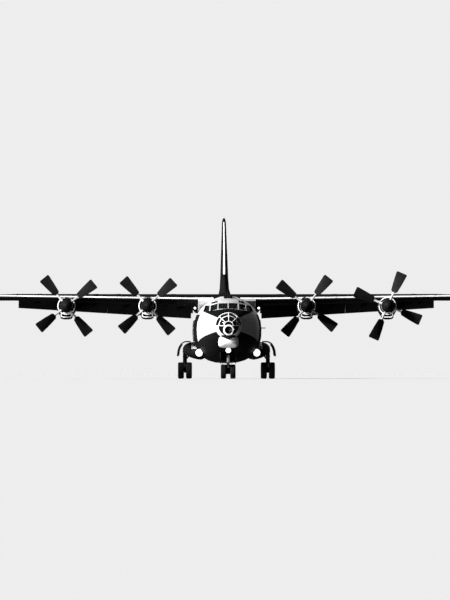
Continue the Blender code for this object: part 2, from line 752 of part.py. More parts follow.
def make_doors(finishes):
    """Two freight door leaves, the aft freight door and the crew door."""
    for name, sign in (("left", 1), ("right", -1)):
        centre_share = LEAF_CENTRE_GAP / 2 / LEAF["rear_x"]
        skin = door_skin(LEAF, sign * centre_share, sign)
        leaf = loft("freight_leaf_" + name, skin, finishes["dark_paint"])
        pins = hinge_pins(*leaf_hinge(sign), 1, (DOOR_FRONT_GAP, RUN))
        combine(leaf, lofts("leaf_pins_" + name, pins), "UNION")
    aft = loft("freight_door_aft", door_skin(AFT_DOOR, -1, 1), finishes["dark_paint"])
    combine(aft, lofts("aft_door_pins", hinge_pins(*aft_door_hinge(), 0)), "UNION")

    low, high = CREW_DOOR["low"], CREW_DOOR["high"]
    cross = [low + (high - low) * k / DOOR_STEPS for k in range(DOOR_STEPS + 1)]
    rings = []
    for s in (CREW_DOOR["from"], CREW_DOOR["to"]):
        outer = [(hull_half_width(s, z), along(s), z) for z in cross]
        inner = [(hull_half_width(s, z, WALL), along(s), z) for z in reversed(cross)]
        rings.append(outer + inner)
    door = loft("crew_door", rings, finishes["pale_paint"])
    combine(door, lofts("crew_door_pins", hinge_pins(*crew_door_hinge(), 1)), "UNION")


def aft_door_hinge():
    """Two points on the aft door's hinge line, across its aft end on the inner face."""
    s, edge = AFT_DOOR["to"], AFT_DOOR["rear_x"]
    height = hull_belly(s, edge, WALL)
    return Vector((-edge, along(s), height)), Vector((edge, along(s), height))


def crew_door_hinge():
    """Two points on the crew door's hinge line, along its upper edge on the inner face."""
    points = []
    for s in (CREW_DOOR["from"], CREW_DOOR["to"]):
        points.append(Vector((hull_half_width(s, CREW_DOOR["high"], WALL), along(s), CREW_DOOR["high"])))
    return points


def aerofoil_height(thickness, share, camber=CAMBER):
    """(upper, lower) height above the chord line at a share of the chord, in chords."""
    root = math.sqrt(share)
    terms = (0.2969 * root, -0.126 * share, -0.3516 * share**2, 0.2843 * share**3, -0.1015 * share**4)
    half = 5 * thickness * sum(terms)
    peak = 0.4
    if share < peak:
        line = camber / peak**2 * (2 * peak * share - share**2)
    else:
        line = camber / (1 - peak) ** 2 * (1 - 2 * peak + 2 * peak * share - share**2)
    return line + half, line - half


AEROFOIL_SHARES = (0.0, 0.008, 0.035, 0.09, 0.18, 0.32, 0.50, 0.70, 0.85, 1.0)
TAIL_EDGE = 0.0018  # half thickness of a trailing edge, in chords


def aerofoil(thickness, camber=CAMBER):
    """Closed outline in chords: over the top from the trailing edge, then back below."""
    shares = AEROFOIL_SHARES
    upper = [(s, max(aerofoil_height(thickness, s, camber)[0], TAIL_EDGE)) for s in reversed(shares)]
    lower = [(s, min(aerofoil_height(thickness, s, camber)[1], -TAIL_EDGE)) for s in shares[1:]]
    upper[-1] = (0.0, 0.0)
    return upper + lower


def grown(outline, distance):
    """Closed outline moved outwards by a distance. The outline runs anticlockwise or clockwise."""
    area = sum(a[0] * b[1] - b[0] * a[1] for a, b in zip(outline, outline[1:] + outline[:1]))
    side = math.copysign(1.0, area)
    moved = []
    for before, point, after in zip(outline[-1:] + outline[:-1], outline, outline[1:] + outline[:1]):
        normals = []
        for a, b in ((before, point), (point, after)):
            length = math.hypot(b[0] - a[0], b[1] - a[1])
            normals.append(((b[1] - a[1]) / length * side, -(b[0] - a[0]) / length * side))
        nx, nz = normals[0][0] + normals[1][0], normals[0][1] + normals[1][1]
        scale = 2 / max(nx * nx + nz * nz, 0.5)
        moved.append((point[0] + nx * scale * distance, point[1] + nz * scale * distance))
    return moved


def surface_ring(table, x, shape, incidence=0.0):
    """World ring of a wing or tailplane at x, straight between the table's sections.

    The shape is a function that gives one row's outline, as (share of the chord, height in chords).
    """
    low, high, share = between(table, abs(x))
    rings = []
    for row in (low, high):
        row_x, chord, station, z, _ = row
        ring = []
        for aft, up in shape(row):
            y = along(station) + chord * (aft * math.cos(incidence) + up * math.sin(incidence))
            height = z + chord * (up * math.cos(incidence) - aft * math.sin(incidence))
            ring.append((math.copysign(row_x, x), y, height))
        rings.append(ring)
    return mixed(*rings, share)


def wing_rings(table, xs, incidence, grow=0.0, camber=CAMBER):
    """Full sections at several x, each grown by a distance in metres."""

    def shape(row):
        outline = aerofoil(row[4], camber)
        return grown(outline, grow / row[1]) if grow else outline

    return [surface_ring(table, x, shape, incidence) for x in xs]


def flap_bay(row):
    """Outline cut out of the wing for a flap: cove in front, shroud above."""
    thickness = row[4]
    lip, cove = 0.795, 0.735
    roof = [(share, aerofoil_height(thickness, share)[0] - skin) for share, skin in ((0.755, 0.013), (lip, 0.005))]
    return [(cove, -0.3), (cove, 0.005), *roof, (lip, 0.3), (1.3, 0.3), (1.3, -0.3)]


def flap_outline(row):
    """The flap nested in its bay."""
    thickness = row[4]

    def upper(share, drop):
        return share, aerofoil_height(thickness, share)[0] - drop

    def lower(share):
        return share, aerofoil_height(thickness, share)[1]

    nose = [(0.742, -0.004), (0.750, 0.014), upper(0.768, 0.022), upper(0.787, 0.015), upper(0.804, 0.001)]
    tail = [upper(0.88, 0.0), (1.0, TAIL_EDGE), (1.0, -TAIL_EDGE), lower(0.88), lower(0.765)]
    return nose + tail


def turned(rings, start, end, angle):
    """Rings turned about the line through two points."""
    start, end = Vector(start), Vector(end)
    matrix = Matrix.Translation(start) @ Matrix.Rotation(angle, 4, end - start) @ Matrix.Translation(-start)
    return [[matrix @ Vector(point) for point in ring] for ring in rings]


def control_bay(hinge, radius):
    """Outline cut out of a surface for a plain control that turns about its rounded nose."""
    front = hinge - radius - 0.006
    return [(front, -0.3), (front, 0.3), (1.3, 0.3), (1.3, -0.3)]


def control_size(thickness, hinge, camber):
    """Height of a plain control's hinge above the chord line, and its nose's radius, in chords."""
    high, low = aerofoil_height(thickness, hinge, camber)
    return (high + low) / 2, (high - low) / 2 * 0.96


def control_outline(thickness, hinge, camber):
    """A plain control: round nose about its hinge, flat sides to the trailing edge."""
    centre, radius = control_size(thickness, hinge, camber)
    nose = []
    for k in range(7):
        angle = math.radians(90 + 180 * k / 6)
        nose.append((hinge + radius * math.cos(angle), centre + radius * math.sin(angle)))
    return nose + [(0.999, -TAIL_EDGE), (0.999, TAIL_EDGE)]


def control_hinge(table, span, hinge, incidence, camber, sign):
    """Two points on a plain control's hinge line."""

    def shape(row):
        return [(hinge, control_size(row[4], hinge, camber)[0])]

    return [surface_ring(table, sign * x, shape, incidence)[0] for x in span]


def make_control(name, table, span, hinge, incidence, camber, sign, material):
    """A control surface with end pins. Returns the rings of its bay's cutter."""

    def surface_shape(row):
        return control_outline(row[4], hinge, camber)

    def bay_shape(row):
        return control_bay(hinge, control_size(row[4], hinge, camber)[1])

    rings = [surface_ring(table, sign * x, surface_shape, incidence) for x in span]
    surface = loft(name, rings, material)
    pins = hinge_pins(*control_hinge(table, span, hinge, incidence, camber, sign), 0)
    combine(surface, lofts(name + "_pins", pins), "UNION")
    return [surface_ring(table, sign * x, bay_shape, incidence) for x in (span[0] - RUN, span[1] + RUN)]


def flap_hinge(span, sign):
    """Two points on a flap's dropped hinge line."""
    return [surface_ring(WING, sign * x, lambda row: [FLAP_HINGE], INCIDENCE)[0] for x in span]


def bracket_outline(row, moving):
    """Outline in chord fractions of a flap bracket: the wing's, or the flap's own arm."""
    x, z = FLAP_HINGE
    tip = 0.012

    def skin(share):
        """Just inside the wing's underside."""
        return share, aerofoil_height(row[4], share)[1] + 0.005

    if moving:
        return [(x - tip, z - tip), (x - tip, z + tip), skin(0.79), skin(0.87), (x + tip, z - tip)]
    return [skin(0.58), skin(0.725), (x + tip, z + tip), (x + tip, z - tip), (0.66, z + 0.015)]


def bracket_rings(x, sign, start, end, moving):
    """Plate of a flap bracket, square to the hinge line. The flap's arm lies beside the wing's plate."""
    axis = (end - start).normalized()
    centre = flap_hinge((x,), sign)[0]
    flat = []
    for point in surface_ring(WING, sign * x, lambda row: bracket_outline(row, moving), INCIDENCE):
        flat.append(point - axis * (point - centre).dot(axis))
    low = 0.0 if moving else -BRACKET_THICKNESS - SEAT
    return [[point + axis * offset for point in flat] for offset in (low, low + BRACKET_THICKNESS)]


def root_fairing_rings(sign):
    """Fairing between the wing's underside and one side of the fuselage."""
    inner, foot, bulge, outer = (sign * x for x in ROOT_FAIRING_X)
    rings = []
    for s, top, low in ROOT_FAIRING:
        swell, knee = (low + share * (top - low) for share in ROOT_FAIRING_RISE)
        section = [(inner, top), (outer, top), (outer, knee), (bulge, swell), (foot, low), (inner, low)]
        rings.append([(x, along(s), z) for x, z in section])
    return rings


def make_wing(finishes, centre_fuselage, hull_form):
    """Wing centre with its root fairings, both wing halves, four flaps and two ailerons."""
    dark = finishes["dark_paint"]
    centre_xs = (-WING_JOINT + SEAT, WING_JOINT - SEAT)
    centre = loft("wing_centre", wing_rings(WING, centre_xs, INCIDENCE), dark)
    fairings = lofts("root_fairings", [root_fairing_rings(sign) for sign in (1, -1)])
    combine(fairings, hull_form, "DIFFERENCE")
    combine(centre, fairings, "UNION")
    notch = loft("wing_notch", wing_rings(WING, (-WING_JOINT, WING_JOINT), INCIDENCE, grow=SEAT))
    combine(centre_fuselage, notch, "DIFFERENCE")
    for name, sign in (("left", 1), ("right", -1)):
        xs = [WING_JOINT] + [row[0] for row in WING if row[0] > WING_JOINT]
        panel = loft("wing_" + name, wing_rings(WING, [sign * x for x in xs], INCIDENCE), dark)
        brackets = []
        for part, span in zip(("inner", "outer"), FLAP_SPANS):
            nested = [surface_ring(WING, sign * x, flap_outline, INCIDENCE) for x in span]
            start, end = flap_hinge(span, sign)
            down = -FLAP_DOWN * sign
            flap = loft(f"flap_{part}_{name}", turned(nested, start, end, down), dark)
            arms = []
            for share in FLAP_BRACKETS:
                x = span[0] + share * (span[1] - span[0])
                arms.append(turned(bracket_rings(x, sign, start, end, True), start, end, down))
                brackets.append(bracket_rings(x, sign, start, end, False))
            combine(flap, lofts(f"flap_arms_{part}_{name}", arms), "UNION")
        wing_shape = (WING, AILERON_SPAN, AILERON_HINGE, INCIDENCE, CAMBER)
        bay = make_control("aileron_" + name, *wing_shape, sign, dark)
        cuts = (FLAP_BAY_START, WING_JOINT, FLAP_SPANS[1][1] + FLAP_END_GAP)
        rings = [surface_ring(WING, sign * x, flap_bay, INCIDENCE) for x in cuts]
        combine(panel, loft("flap_bay_" + name, rings), "DIFFERENCE")
        combine(panel, loft("aileron_bay_" + name, bay), "DIFFERENCE")
        combine(panel, lofts("flap_brackets_" + name, brackets), "UNION")


def nacelle_ring(x, lip, aft, inset=0.0):
    """Nacelle section behind the lip."""
    half_width, up, down = (blend(NACELLE, aft, column) for column in (1, 2, 3))
    ring = []
    for k in range(NACELLE_POINTS):
        angle = 2 * math.pi * k / NACELLE_POINTS
        rise = math.cos(angle)
        middle, reach = (up - down) / 2, (up + down) / 2 - inset
        across = (half_width - inset) * math.sin(angle)
        ring.append((x + across, lip + aft, THRUST_HEIGHT + middle + reach * rise))
    return ring


def scoop_ring(x, y, half_width, half_height, drop):
    """Rounded section of the scoop under a nacelle's lip, or of its mouth."""
    section = squared_ring(half_width, half_height, SCOOP_POWER, SCOOP_POINTS, first=0.5)
    return [(x + across, y, THRUST_HEIGHT - drop + rise) for across, rise in section]


def circle_ring(x, y, z, radius, sides=NACELLE_POINTS):
    """Ring about an axis along y."""
    return [
        (x + radius * math.sin(2 * math.pi * k / sides), y, z + radius * math.cos(2 * math.pi * k / sides))
        for k in range(sides)
    ]


def make_nacelle(name, x, lip, material):
    """Hollow engine nacelle, open at its intake, oil cooler and jet pipe, seated on the wing."""
    stations = sorted([row[0] for row in NACELLE] + list(ENGINE_RING))
    outer = [nacelle_ring(x, lip, aft) for aft in stations]
    inner = [nacelle_ring(x, lip, aft, NACELLE_WALL) for aft in reversed(stations)]
    nacelle = loft("nacelle_" + name, outer + inner, material, loop=True)
    scoop = loft("chin_scoop_" + name, [scoop_ring(x, lip + aft, *size) for aft, *size in CHIN_SCOOP])
    cavity = [nacelle_ring(x, lip, aft, NACELLE_WALL / 2) for aft in stations]
    combine(scoop, loft("nacelle_cavity_" + name, cavity), "DIFFERENCE")
    combine(nacelle, scoop, "UNION")
    mouth = [scoop_ring(x, lip + aft, *CHIN_MOUTH) for aft in (-0.1, CHIN_MOUTH_DEPTH)]
    combine(nacelle, loft("chin_mouth_" + name, mouth), "DIFFERENCE")
    span = (x - NOTCH_REACH, x + NOTCH_REACH)
    notch = loft("nacelle_notch_" + name, wing_rings(WING, span, INCIDENCE, grow=SEAT))
    combine(nacelle, notch, "DIFFERENCE")
    return nacelle


def make_engine(name, x, lip, material):
    """Engine as one plain block with its shaft, jet pipe and mounting ring."""
    rings = []
    ring_front, ring_back = ENGINE_RING
    edge = NACELLE_WALL + SEAT + 0.0005
    for (aft, radius, rise), following in zip(ENGINE, (*ENGINE[1:], None)):
        rings.append(circle_ring(x, lip + aft, THRUST_HEIGHT + rise, radius))
        if following and aft < ring_front < following[0]:
            middle = (blend(ENGINE, ring_front, 1), blend(ENGINE, ring_front, 2))
            rings.append(circle_ring(x, lip + ring_front, THRUST_HEIGHT + middle[1], middle[0]))
            rings.append(nacelle_ring(x, lip, ring_front, edge))
            rings.append(nacelle_ring(x, lip, ring_back, edge))
            rings.append(circle_ring(x, lip + ring_back, THRUST_HEIGHT + middle[1], middle[0]))
    return loft("engine_" + name, rings, material)


def blade_rings(x, y, angle):
    """One propeller blade, pointing at an angle in the disc seen from the front."""
    out = Vector((math.cos(angle), 0.0, math.sin(angle)))
    side = Vector((-math.sin(angle), 0.0, math.cos(angle)))
    aft = Vector((0.0, 1.0, 0.0))
    centre = Vector((x, y, THRUST_HEIGHT))
    profile = ((-0.5, 0.0), (-0.2, 0.5), (0.25, 0.4), (0.5, 0.0), (0.25, -0.4), (-0.2, -0.5))
    rings = []
    for radius, chord, thickness, pitch in BLADE:
        lean = math.radians(pitch)
        along_chord = side * math.cos(lean) + aft * math.sin(lean)
        across = aft * math.cos(lean) - side * math.sin(lean)
        middle = centre + out * radius
        ring = [middle + along_chord * (u * chord) + across * (v * thickness) for u, v in profile]
        rings.append(ring)
    return rings


def make_propeller(name, x, y, phase, finishes):
    """Hub with four blades, and the spinner's nose in front of it."""
    half = HUB_HALF_LENGTH
    hub_rings = [circle_ring(x, y + side * half, THRUST_HEIGHT, HUB_RADIUS) for side in (-1, 1)]
    hub = loft("propeller_" + name, hub_rings, finishes["blade_paint"])
    blades = [blade_rings(x, y, math.radians(phase + 90 * k)) for k in range(4)]
    combine(hub, lofts("blades_" + name, blades), "UNION")
    rings = []
    for share in SPINNER_SHARES:
        radius = HUB_RADIUS * math.sqrt(1 - share**2)
        rings.append(circle_ring(x, y - half - SEAT - share * SPINNER_LENGTH, THRUST_HEIGHT, radius))
    loft("spinner_" + name, rings, finishes["blade_paint"])


def make_engines(finishes):
    """All four engines, nacelles and propellers."""
    for name, x, station, phase in ENGINES:
        y = along(station)
        make_nacelle(name, x, y + NACELLE_LIP, finishes["dark_paint"])
        make_engine(name, x, y + NACELLE_LIP, finishes["engine_metal"])
        make_propeller(name, x, y, phase, finishes)


def fin_ring(z, shape):
    """Ring of the fin at a height, straight between its rows.

    The shape is a function that gives one row's outline, as (station, sideways) in metres.
    """
    low, high, share = between(FIN, z)
    rings = [[(x, along(station), row[0]) for station, x in shape(row)] for row in (low, high)]
    return mixed(*rings, share)


def fin_outline(row):
    """Section of the fin in metres."""
    _, nose, tail, thickness = row
    chord = tail - nose
    return [(nose + share * chord, height * chord) for share, height in aerofoil(thickness, 0.0)]


def rudder_station(z):
    """Station of the rudder's hinge line at a height."""
    (low, high), (first, last) = RUDDER_HEIGHTS, RUDDER_STATIONS
    return first + (z - low) / (high - low) * (last - first)


def rudder_outline(row, bay=False):
    """Section of the rudder, or of the cutter for its bay, at one row of the fin."""
    z, nose, tail, thickness = row
    hinge = (rudder_station(z) - nose) / (tail - nose)
    outline = control_outline(thickness, hinge, 0.0)
    if bay:
        outline = control_bay(hinge, control_size(thickness, hinge, 0.0)[1])
    return [(nose + share * (tail - nose), height * (tail - nose)) for share, height in outline]


def rudder_hinge():
    """Two points on the rudder's hinge line."""
    return [Vector((0.0, along(rudder_station(z)), z)) for z in RUDDER_HEIGHTS]


def make_tail(finishes, rear_fuselage, hull_form):
    """Fin with its dorsal fillet, rudder, tailplane and elevators."""
    dark = finishes["dark_paint"]
    fin = loft("fin", [fin_ring(row[0], fin_outline) for row in FIN], dark)
    combine(fin, hull_form, "DIFFERENCE")
    low, high = RUDDER_HEIGHTS
    middle = [row[0] for row in FIN if low < row[0] < high]
    rudder = loft("rudder", [fin_ring(z, rudder_outline) for z in (low, *middle, high)], dark)
    pins = hinge_pins(*rudder_hinge(), 2, (RUDDER_END_GAP, RUDDER_END_GAP))
    combine(rudder, lofts("rudder_pins", pins), "UNION")
    levels = (low - RUDDER_END_GAP, *middle, high + RUDDER_END_GAP)
    bay = loft("rudder_bay", [fin_ring(z, lambda row: rudder_outline(row, bay=True)) for z in levels])
    combine(fin, bay, "DIFFERENCE")

    xs = [row[0] for row in TAILPLANE]
    every = [-x for x in reversed(xs[1:])] + xs[1:]
    tailplane = loft("tailplane", wing_rings(TAILPLANE, every, 0.0, camber=0.0), dark)
    root = TAILPLANE[1][0]
    slot_xs = (-TAIL_SLOT_REACH, -root, root, TAIL_SLOT_REACH)
    slot = loft("tailplane_slot", wing_rings(TAILPLANE, slot_xs, 0.0, grow=SEAT, camber=0.0))
    combine(rear_fuselage, slot, "DIFFERENCE")
    combine(fin, slot, "DIFFERENCE")
    bays = []
    for name, sign in (("left", 1), ("right", -1)):
        shape = (TAILPLANE, ELEVATOR_SPAN, ELEVATOR_HINGE, 0.0, 0.0)
        bays.append(make_control("elevator_" + name, *shape, sign, dark))
    combine(tailplane, lofts("elevator_bays", bays), "DIFFERENCE")


def wheel_pair(name, wheel, centre, material):
    """Two wheels with their axle, turned about an axle along x. A flat of each tyre is lowest."""
    gap, width, axle, rim = wheel["gap"] / 2, wheel["width"], wheel["axle"], wheel["rim"]
    radius = wheel["radius"] / math.cos(math.pi / WHEEL_SIDES)
    shoulder, flank = width * TYRE_SHOULDER, radius * TYRE_FLANK
    inner_face, outer_face = gap, gap + width
    half = [
        # distance from the middle, radius
        (inner_face, axle),
        (inner_face, flank),
        (inner_face + shoulder, radius),
        (outer_face - shoulder, radius),
        (outer_face, flank),
        (outer_face, rim),
        (outer_face - HUB_DISH, rim * HUB_SHARE),
    ]
    profile = [(-x, r) for x, r in reversed(half)] + half
    rings = []
    for x, r in profile:
        ring = []
        for k in range(WHEEL_SIDES):
            angle = 2 * math.pi * (k + 0.5) / WHEEL_SIDES
            ring.append((centre[0] + x, centre[1] + r * math.sin(angle), centre[2] + r * math.cos(angle)))
        rings.append(ring)
    return loft(name, rings, material)


def bore_rings(centre, radius):
    """Cutter for an axle's bore along x, whose flats clear the axle."""
    size = (radius + SEAT) / math.cos(math.pi / WHEEL_SIDES)
    rings = []
    for x in (centre[0] - BORE_REACH, centre[0] + BORE_REACH):
        ring = []
        for k in range(WHEEL_SIDES):
            angle = 2 * math.pi * (k + 0.5) / WHEEL_SIDES
            ring.append((x, centre[1] + size * math.sin(angle), centre[2] + size * math.cos(angle)))
        rings.append(ring)
    return rings


def make_nose_gear(finishes):
    """Nose leg in its bay, steered lower leg, wheels and bay doors."""
    y = along(NOSE_GEAR_STATION)
    wheel = NOSE_WHEEL
    rings = rod_rings((0, y, NOSE_JOINT), (0, y, NOSE_JOINT + 1.0), 0.12)
    leg = loft("nose_leg", rings, finishes["gear_paint"])
    half = NOSE_BAY["half_width"] - SEAT
    trunnion_height = hull_belly(NOSE_GEAR_STATION, half) + WALL / 2
    foot_y, foot_z = along(NOSE_BAY["to"]) - SEAT, hull_belly(NOSE_BAY["to"], 0) + WALL / 2
    foot_x, foot_deep, foot_rise = NOSE_FOOT
    foot = box_rings((-foot_x, foot_y - foot_deep, foot_z - foot_rise), (foot_x, foot_y, foot_z + foot_rise))
    knee, foot_end = (0, y, NOSE_JOINT + 0.10), (0, foot_y - foot_deep / 2, foot_z)
    helpers = [
        ("nose_trunnion", rod_rings((-half, y, trunnion_height), (half, y, trunnion_height), 0.034)),
        ("nose_brace_foot", foot),
        ("nose_brace", rod_rings(knee, foot_end, 0.05, 0.025)),
    ]
    for name, rings in helpers:
        combine(leg, loft(name, rings), "UNION")

    axle = (0, y, wheel["radius"])
    rings = rod_rings((0, y, 0.52), (0, y, NOSE_JOINT - SEAT), 0.085)
    fork = loft("nose_fork", rings, finishes["gear_paint"])
    block, (deep, drop, rise) = wheel["gap"] / 2 - AXLE_CLEAR, NOSE_BLOCK
    low, high = (-block, y - deep, wheel["radius"] - drop), (block, y + deep, wheel["radius"] + rise)
    combine(fork, loft("nose_axle_block", box_rings(low, high)), "UNION")
    combine(fork, loft("nose_axle_bore", bore_rings(axle, wheel["axle"])), "DIFFERENCE")
    wheel_pair("nose_wheels", wheel, axle, finishes["tyre"])

    for name, sign in (("left", 1), ("right", -1)):
        first, last = NOSE_BAY["from"] + NOSE_DOOR["end_gap"], NOSE_BAY["to"] - NOSE_DOOR["end_gap"]
        low = NOSE_DOOR["low"]
        outline = []
        for s in hull_stations(first, last):
            outline.append((along(s), hull_belly(s, half) - NOSE_DOOR["top_gap"]))
        rake = along(first + NOSE_DOOR["rake"])
        outline += [(along(last), low), (rake, low), (along(first), NOSE_DOOR["front"])]
        inner = sign * (NOSE_BAY["half_width"] - NOSE_DOOR["thickness"] + SEAT)
        outer = sign * NOSE_BAY["half_width"]
        rings = plate_rings(outline, min(inner, outer), max(inner, outer))
        door = loft("nose_door_" + name, rings, finishes["dark_paint"])
        lugs = []
        for s in (first + 0.15, last - 0.15):
            height = hull_belly(s, half)
            low = (min(inner, sign * half), along(s) - 0.06, height - 0.12)
            high = (max(inner, sign * half), along(s) + 0.06, height + WALL / 2)
            lugs.append(box_rings(low, high))
        combine(door, lofts("nose_door_lugs_" + name, lugs), "UNION")


def sponson_ring(row, sign):
    """Section of a main gear fairing."""
    station, x, z, half_width, rise, drop = row
    ring = []
    for side, up in squared_ring(1.0, 1.0, SPONSON_POWER, SPONSON_POINTS):
        height = rise * up if up > 0 else up * (drop - SPONSON_SLOPE * half_width * side)
        ring.append((sign * (x + half_width * side), along(station), z + height))
    return ring


def sponson_top(station, x):
    """Height of a main gear fairing's upper side."""
    columns = range(1, len(SPONSON[0]))
    ring = sponson_ring((station, *(blend(SPONSON, station, column) for column in columns)), 1)
    outermost = SPONSON_POINTS // 4
    for (x0, _, z0), (x1, _, z1) in zip(ring[:outermost], ring[1 : outermost + 1]):
        if x0 <= x <= x1:
            return z0 + (z1 - z0) * (x - x0) / (x1 - x0)
    return ring[outermost][2]


def main_door_rings(sign):
    """Open main gear door: a curved panel hung from the top of the fairing."""
    inner = [(DOOR_HINGE_X, sponson_top(MAIN_GEAR_STATION, DOOR_HINGE_X) + SEAT), *MAIN_DOOR]
    outer = []
    for before, point, after in zip(inner[:1] + inner[:-1], inner, inner[1:] + inner[-1:]):
        run, rise = after[0] - before[0], after[1] - before[1]
        length = math.hypot(run, rise)
        outer.append((point[0] - rise / length * MAIN_DOOR_WALL, point[1] + run / length * MAIN_DOOR_WALL))
    outline = [(sign * x, z) for x, z in inner + outer[::-1]]
    ends = (MAIN_BAY["from"] + MAIN_DOOR_INSET, MAIN_BAY["to"] - MAIN_DOOR_INSET)
    return [[(x, along(s), z) for x, z in outline] for s in ends]


def wall_foot(centre, away):
    """Box on a wall for a brace's end, with its back at the centre point and its body in x or y off the wall."""
    x, y, z = centre
    half, deep = WALL_FOOT
    low = [x - half * abs(away[1]), y - half * abs(away[0]), z - half]
    high = [x + half * abs(away[1]), y + half * abs(away[0]), z + half]
    for side in (0, 1):
        low[side] += min(deep * away[side], 0.0)
        high[side] += max(deep * away[side], 0.0)
    return box_rings(low, high)


def make_main_gear(finishes, hull_form):
    """Fairings, legs with bogie beams, wheels and open doors."""
    y, radius = along(MAIN_GEAR_STATION), MAIN_WHEEL["radius"]
    ends = (along(MAIN_BAY["from"]) + SEAT, along(MAIN_BAY["to"]) - SEAT)
    for name, sign in (("left", 1), ("right", -1)):
        x = sign * MAIN_GEAR_X
        rings = [sponson_ring(row, sign) for row in SPONSON]
        sponson = loft("sponson_" + name, rings, finishes["dark_paint"])
        front, (lamp_x, lamp_z) = along(SPONSON[0][0]), LAMP_PLACE
        ends_of_lamp = [(sign * lamp_x, front + shift, lamp_z) for shift in LAMP_REACH]
        lamp = rod_rings(*ends_of_lamp, LAMP_RADIUS, sides=20)
        combine(sponson, loft("landing_lamp_" + name, lamp), "UNION")
        combine(sponson, hull_form, "DIFFERENCE")
        inner, outer = sorted((sign * MAIN_BAY["inner"], sign * MAIN_BAY["outer"]))
        low = (inner, along(MAIN_BAY["from"]), MAIN_BAY["low"])
        high = (outer, along(MAIN_BAY["to"]), MAIN_BAY["high"])
        bay = box_rings(low, high)
        combine(sponson, loft("main_bay_" + name, bay), "DIFFERENCE")

        leg = loft("main_leg_" + name, column_rings(x, y, MAIN_LEG), finishes["gear_paint"])
        wall = sign * (MAIN_BAY["inner"] + SEAT)
        helpers = [
            ("main_trunnion_", rod_rings((x, ends[0], 1.84), (x, ends[1], 1.84), 0.085)),
            ("main_side_foot_", wall_foot((wall, y, 1.62), (sign, 0))),
            ("main_side_brace_", rod_rings((x, y, 1.15), (wall + sign * 0.04, y, 1.62), 0.05)),
            ("main_drag_foot_", wall_foot((x, ends[0], 1.73), (0, 1))),
            ("main_drag_brace_", rod_rings((x, y, 1.12), (x, ends[0] + 0.04, 1.73), 0.05)),
        ]
        for label, rings in helpers:
            combine(leg, loft(label + name, rings), "UNION")
        half = MAIN_WHEEL["gap"] / 2 - AXLE_CLEAR
        reach = BOGIE_HALF + BOGIE_END
        low, high = radius - BOGIE_BEAM_HALF_HEIGHT, radius + BOGIE_BEAM_HALF_HEIGHT
        beam = box_rings((x - half, y - reach, low), (x + half, y + reach, high))
        combine(leg, loft("bogie_beam_" + name, beam), "UNION")
        axles = [(x, y + side * BOGIE_HALF, radius) for side in (-1, 1)]
        bores = lofts("bogie_bores_" + name, [bore_rings(axle, MAIN_WHEEL["axle"]) for axle in axles])
        combine(leg, bores, "DIFFERENCE")
        for place, axle in zip(("front", "rear"), axles):
            wheel_pair(f"main_wheels_{place}_{name}", MAIN_WHEEL, axle, finishes["tyre"])
        loft("main_door_" + name, main_door_rings(sign), finishes["dark_paint"])


def clear_scene():
    """Removes what the scene starts with."""
    for existing in list(bpy.data.objects):
        bpy.data.objects.remove(existing, do_unlink=True)


def smooth_round_pieces():
    """Shades every piece smooth, with its corners kept sharp."""
    for piece in bpy.data.objects:
        if piece.type == "MESH" and not piece.hide_render:
            piece.data.shade_smooth()
            piece.data.set_sharp_from_angle(angle=math.radians(35))


def main():
    """Builds the plane."""
    clear_scene()
    finishes = make_finishes()
    hull_form = hull_solid(SEAT)
    make_nose(finishes, hull_form)
    centre, rear = make_fuselage(finishes, hull_form)
    make_doors(finishes)
    make_wing(finishes, centre, hull_form)
    make_engines(finishes)
    make_tail(finishes, rear, hull_form)
    make_nose_gear(finishes)
    make_main_gear(finishes, hull_form)
    smooth_round_pieces()


main()
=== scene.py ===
"""Looks of the military transport plane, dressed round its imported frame.

Every sub-assembly is a class that holds its sizes in metres, builds its meshes and dresses them. Stations are
metres aft of the nose tip, +X is the port side, and the aircraft stands on its wheels at z = 0.
"""

import json
import logging
import math
from collections.abc import Callable, Iterable, Sequence
from dataclasses import dataclass
from enum import Enum
from functools import cached_property

import bmesh
import bpy
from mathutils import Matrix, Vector
from mathutils.bvhtree import BVHTree

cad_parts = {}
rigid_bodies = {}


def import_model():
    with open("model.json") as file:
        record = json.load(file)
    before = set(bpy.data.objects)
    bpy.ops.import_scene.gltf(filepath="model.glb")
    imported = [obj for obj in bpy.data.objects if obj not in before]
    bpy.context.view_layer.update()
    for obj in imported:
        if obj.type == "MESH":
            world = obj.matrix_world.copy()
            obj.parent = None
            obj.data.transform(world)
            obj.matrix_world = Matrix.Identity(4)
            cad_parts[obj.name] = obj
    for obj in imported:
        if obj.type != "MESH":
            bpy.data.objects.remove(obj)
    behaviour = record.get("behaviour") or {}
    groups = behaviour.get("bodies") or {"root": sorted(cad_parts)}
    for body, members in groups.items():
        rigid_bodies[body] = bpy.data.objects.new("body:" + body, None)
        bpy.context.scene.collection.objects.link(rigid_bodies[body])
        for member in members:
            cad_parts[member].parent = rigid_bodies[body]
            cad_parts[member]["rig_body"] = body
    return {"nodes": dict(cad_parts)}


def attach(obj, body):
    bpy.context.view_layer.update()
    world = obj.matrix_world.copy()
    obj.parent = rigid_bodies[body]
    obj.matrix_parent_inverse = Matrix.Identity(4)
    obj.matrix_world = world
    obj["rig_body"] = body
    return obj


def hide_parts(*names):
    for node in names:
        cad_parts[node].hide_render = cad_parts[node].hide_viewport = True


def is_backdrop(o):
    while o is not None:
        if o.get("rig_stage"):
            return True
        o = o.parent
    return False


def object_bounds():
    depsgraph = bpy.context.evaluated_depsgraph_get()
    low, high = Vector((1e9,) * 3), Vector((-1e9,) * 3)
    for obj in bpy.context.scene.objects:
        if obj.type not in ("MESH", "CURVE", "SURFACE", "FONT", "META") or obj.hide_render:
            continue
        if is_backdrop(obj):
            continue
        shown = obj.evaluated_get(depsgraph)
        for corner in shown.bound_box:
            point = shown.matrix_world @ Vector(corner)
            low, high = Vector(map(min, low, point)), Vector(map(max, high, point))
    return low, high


LOG = logging.getLogger("transport_plane")
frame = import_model()
